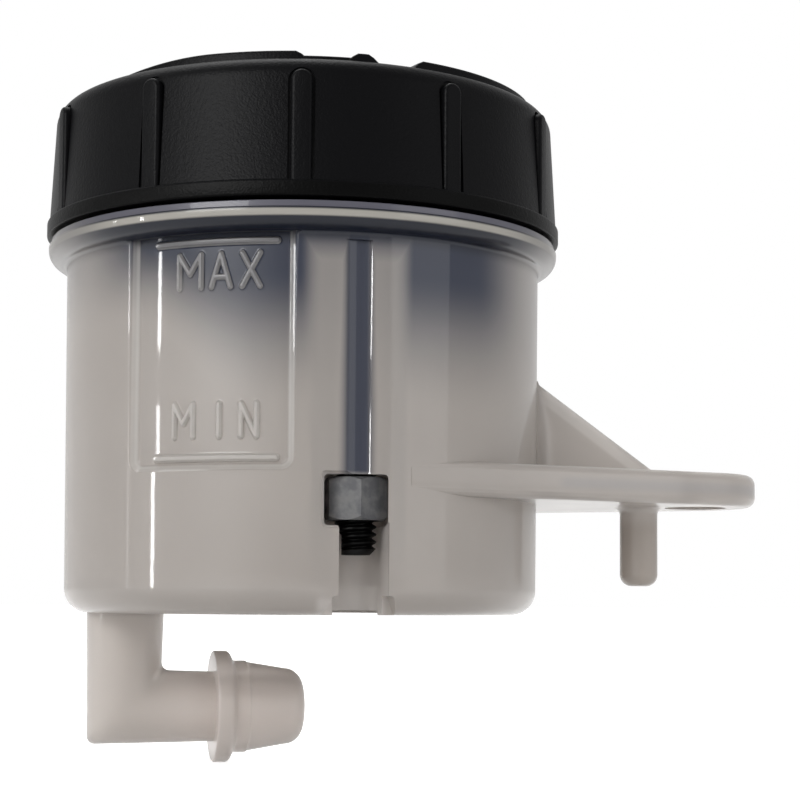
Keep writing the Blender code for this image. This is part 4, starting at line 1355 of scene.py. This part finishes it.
def build_screw(material):
    axis = out_at(BOSS_AZIMUTH, SCREW_RUN)
    socket = hex_bar(SOCKET_FLATS, SCREW_FOOT - OVERCUT, SCREW_FOOT + SOCKET_DEPTH)
    left = axis.x - SCREW_FLAT
    below = SCREW_FOOT - OVERCUT
    above = FLAT_TOP + FLAT_RISE
    flat = [
        (left - FLAT_REACH, below), (left, below), (left, FLAT_TOP), (left - FLAT_RUN_OUT, above),
        (left - FLAT_REACH, above),
    ]
    cut = stand_across(extruded(flat, -axis.y - FLAT_REACH, -axis.y + FLAT_REACH))
    screw = combined(
        shape("long_screw", move(thread_rings(SCREW_FOOT, SCREW_TOP), axis)),
        [("DIFFERENCE", shape("socket", move(socket, axis))), ("DIFFERENCE", shape("flat", cut))],
    )
    piece(screw, material, "reservoir", "lock_screw", crease=40.0)


def build_nut(material):
    wide = hex_corner(NUT_FLATS) + NUT_CHAMFER
    face = NUT_FLATS / 2
    cone = turned([
        (0.0, NUT_FOOT - WELD), (face, NUT_FOOT - WELD), (wide, NUT_FOOT + 2 * NUT_CHAMFER),
        (wide, NUT_TOP - 2 * NUT_CHAMFER), (face, NUT_TOP + WELD), (0.0, NUT_TOP + WELD),
    ], MEDIUM)
    prism = rotated(hex_bar(NUT_FLATS, NUT_FOOT, NUT_TOP), Matrix.Rotation(NUT_TURN, 3, "Z"))
    bore = round_bar(SCREW_BORE, NUT_FOOT - OVERCUT, NUT_TOP + OVERCUT)
    nut = combined(at_screw("hex_nut", prism), [
        ("INTERSECT", at_screw("chamfers", cone)), ("DIFFERENCE", at_screw("bore", bore)),
    ])
    piece(nut, material, "reservoir", "lock_nut")


# Stage


def seen_rays(tree):
    """1 where the camera, a gloss or a see-through material looks, 0 for the light that falls on things."""
    path = tree.nodes.new("ShaderNodeLightPath").outputs
    seen = calculate("MAXIMUM", path["Is Camera Ray"], path["Is Glossy Ray"])
    return calculate("MAXIMUM", seen, path["Is Transmission Ray"])


def build_floor():
    mesh = bpy.data.meshes.new("studio floor")
    level = in_frame((0, 0, FLOOR_LEVEL)).z
    side = FLOOR_SIDE
    corners = [(-side, -side, level), (side, -side, level), (side, side, level), (-side, side, level)]
    mesh.from_pydata(corners, [], [(0, 1, 2, 3)])
    floor = new_object("studio_floor", mesh)
    material, shader = new_material("pale floor")
    settle(shader, FLOOR_GREY, 0.9, specular=0.0)
    shader.inputs["Emission Color"].default_value = WHITE
    feed(shader, "Emission Strength", product(seen_rays(material.node_tree), FLOOR_GLOW))
    mesh.materials.append(material)


def build_world():
    world = bpy.data.worlds.new("studio")
    bpy.context.scene.world = world
    world.use_nodes = True
    tree = world.node_tree
    light = tree.nodes["Background"]
    light.inputs["Color"].default_value = WHITE
    light.inputs["Strength"].default_value = WORLD_LIGHT
    white = tree.nodes.new("ShaderNodeBackground")
    white.inputs["Color"].default_value = WHITE
    mix = tree.nodes.new("ShaderNodeMixShader")
    tree.links.new(seen_rays(tree), mix.inputs[0])
    tree.links.new(light.outputs[0], mix.inputs[1])
    tree.links.new(white.outputs[0], mix.inputs[2])
    tree.links.new(mix.outputs[0], tree.nodes["World Output"].inputs[0])


def add_lamp(name, place, aim_height, width, length, power, soft):
    """An area lamp aimed at the cup's axis; one that isn't soft shows in the gloss only."""
    light = bpy.data.lights.new(name, "AREA")
    light.shape = "RECTANGLE"
    light.size = width * MM
    light.size_y = length * MM
    light.energy = power
    lamp = new_object(name, light)
    lamp.location = in_frame(place)
    aim = in_frame((0.0, 0.0, aim_height)) - lamp.location
    lamp.rotation_euler = aim.to_track_quat("-Z", "Y").to_euler()
    lamp.visible_diffuse = soft


def build_lights():
    for name, azimuth, height, width, length, power in STRIP_LAMPS:
        place = out_at(math.radians(azimuth), STRIP_DISTANCE, height)
        add_lamp(name, place, height, width, length, power, soft=False)
    for lamp in BROAD_LAMPS:
        add_lamp(*lamp)


def build_camera():
    camera = bpy.data.cameras.new("photo camera")
    camera.sensor_width = SENSOR
    camera.lens = SENSOR * FOCAL_PIXELS / PHOTO_SIDE
    camera.shift_y = SHIFT_UP
    camera.clip_start = CLIP_START
    camera.clip_end = CLIP_END
    holder = new_object("photo camera", camera)
    yaw = Matrix.Rotation(-CAMERA_YAW, 4, "Z")
    pitch = Matrix.Rotation(math.radians(90.0) + CAMERA_PITCH, 4, "X")
    roll = Matrix.Rotation(CAMERA_ROLL, 4, "Z")
    holder.matrix_world = Matrix.Translation(in_frame(CAMERA_PLACE)) @ (yaw @ pitch) @ roll
    bpy.context.scene.camera = holder


build_camera()
build_cup(milky_plastic())
build_cap(black_plastic())
build_bellows(black_rubber())
build_screw(steel("blackened steel", SCREW_TONES, roughness=0.45, metallic=1.0))
build_nut(steel("zinc-plated steel", NUT_TONES, roughness=0.38, metallic=0.15))
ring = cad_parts["slip_ring"]
ring.data.materials.clear()
ring.data.materials.append(white_acetal())
build_floor()
build_world()
build_lights()
bpy.context.scene.view_settings.view_transform = "Standard"
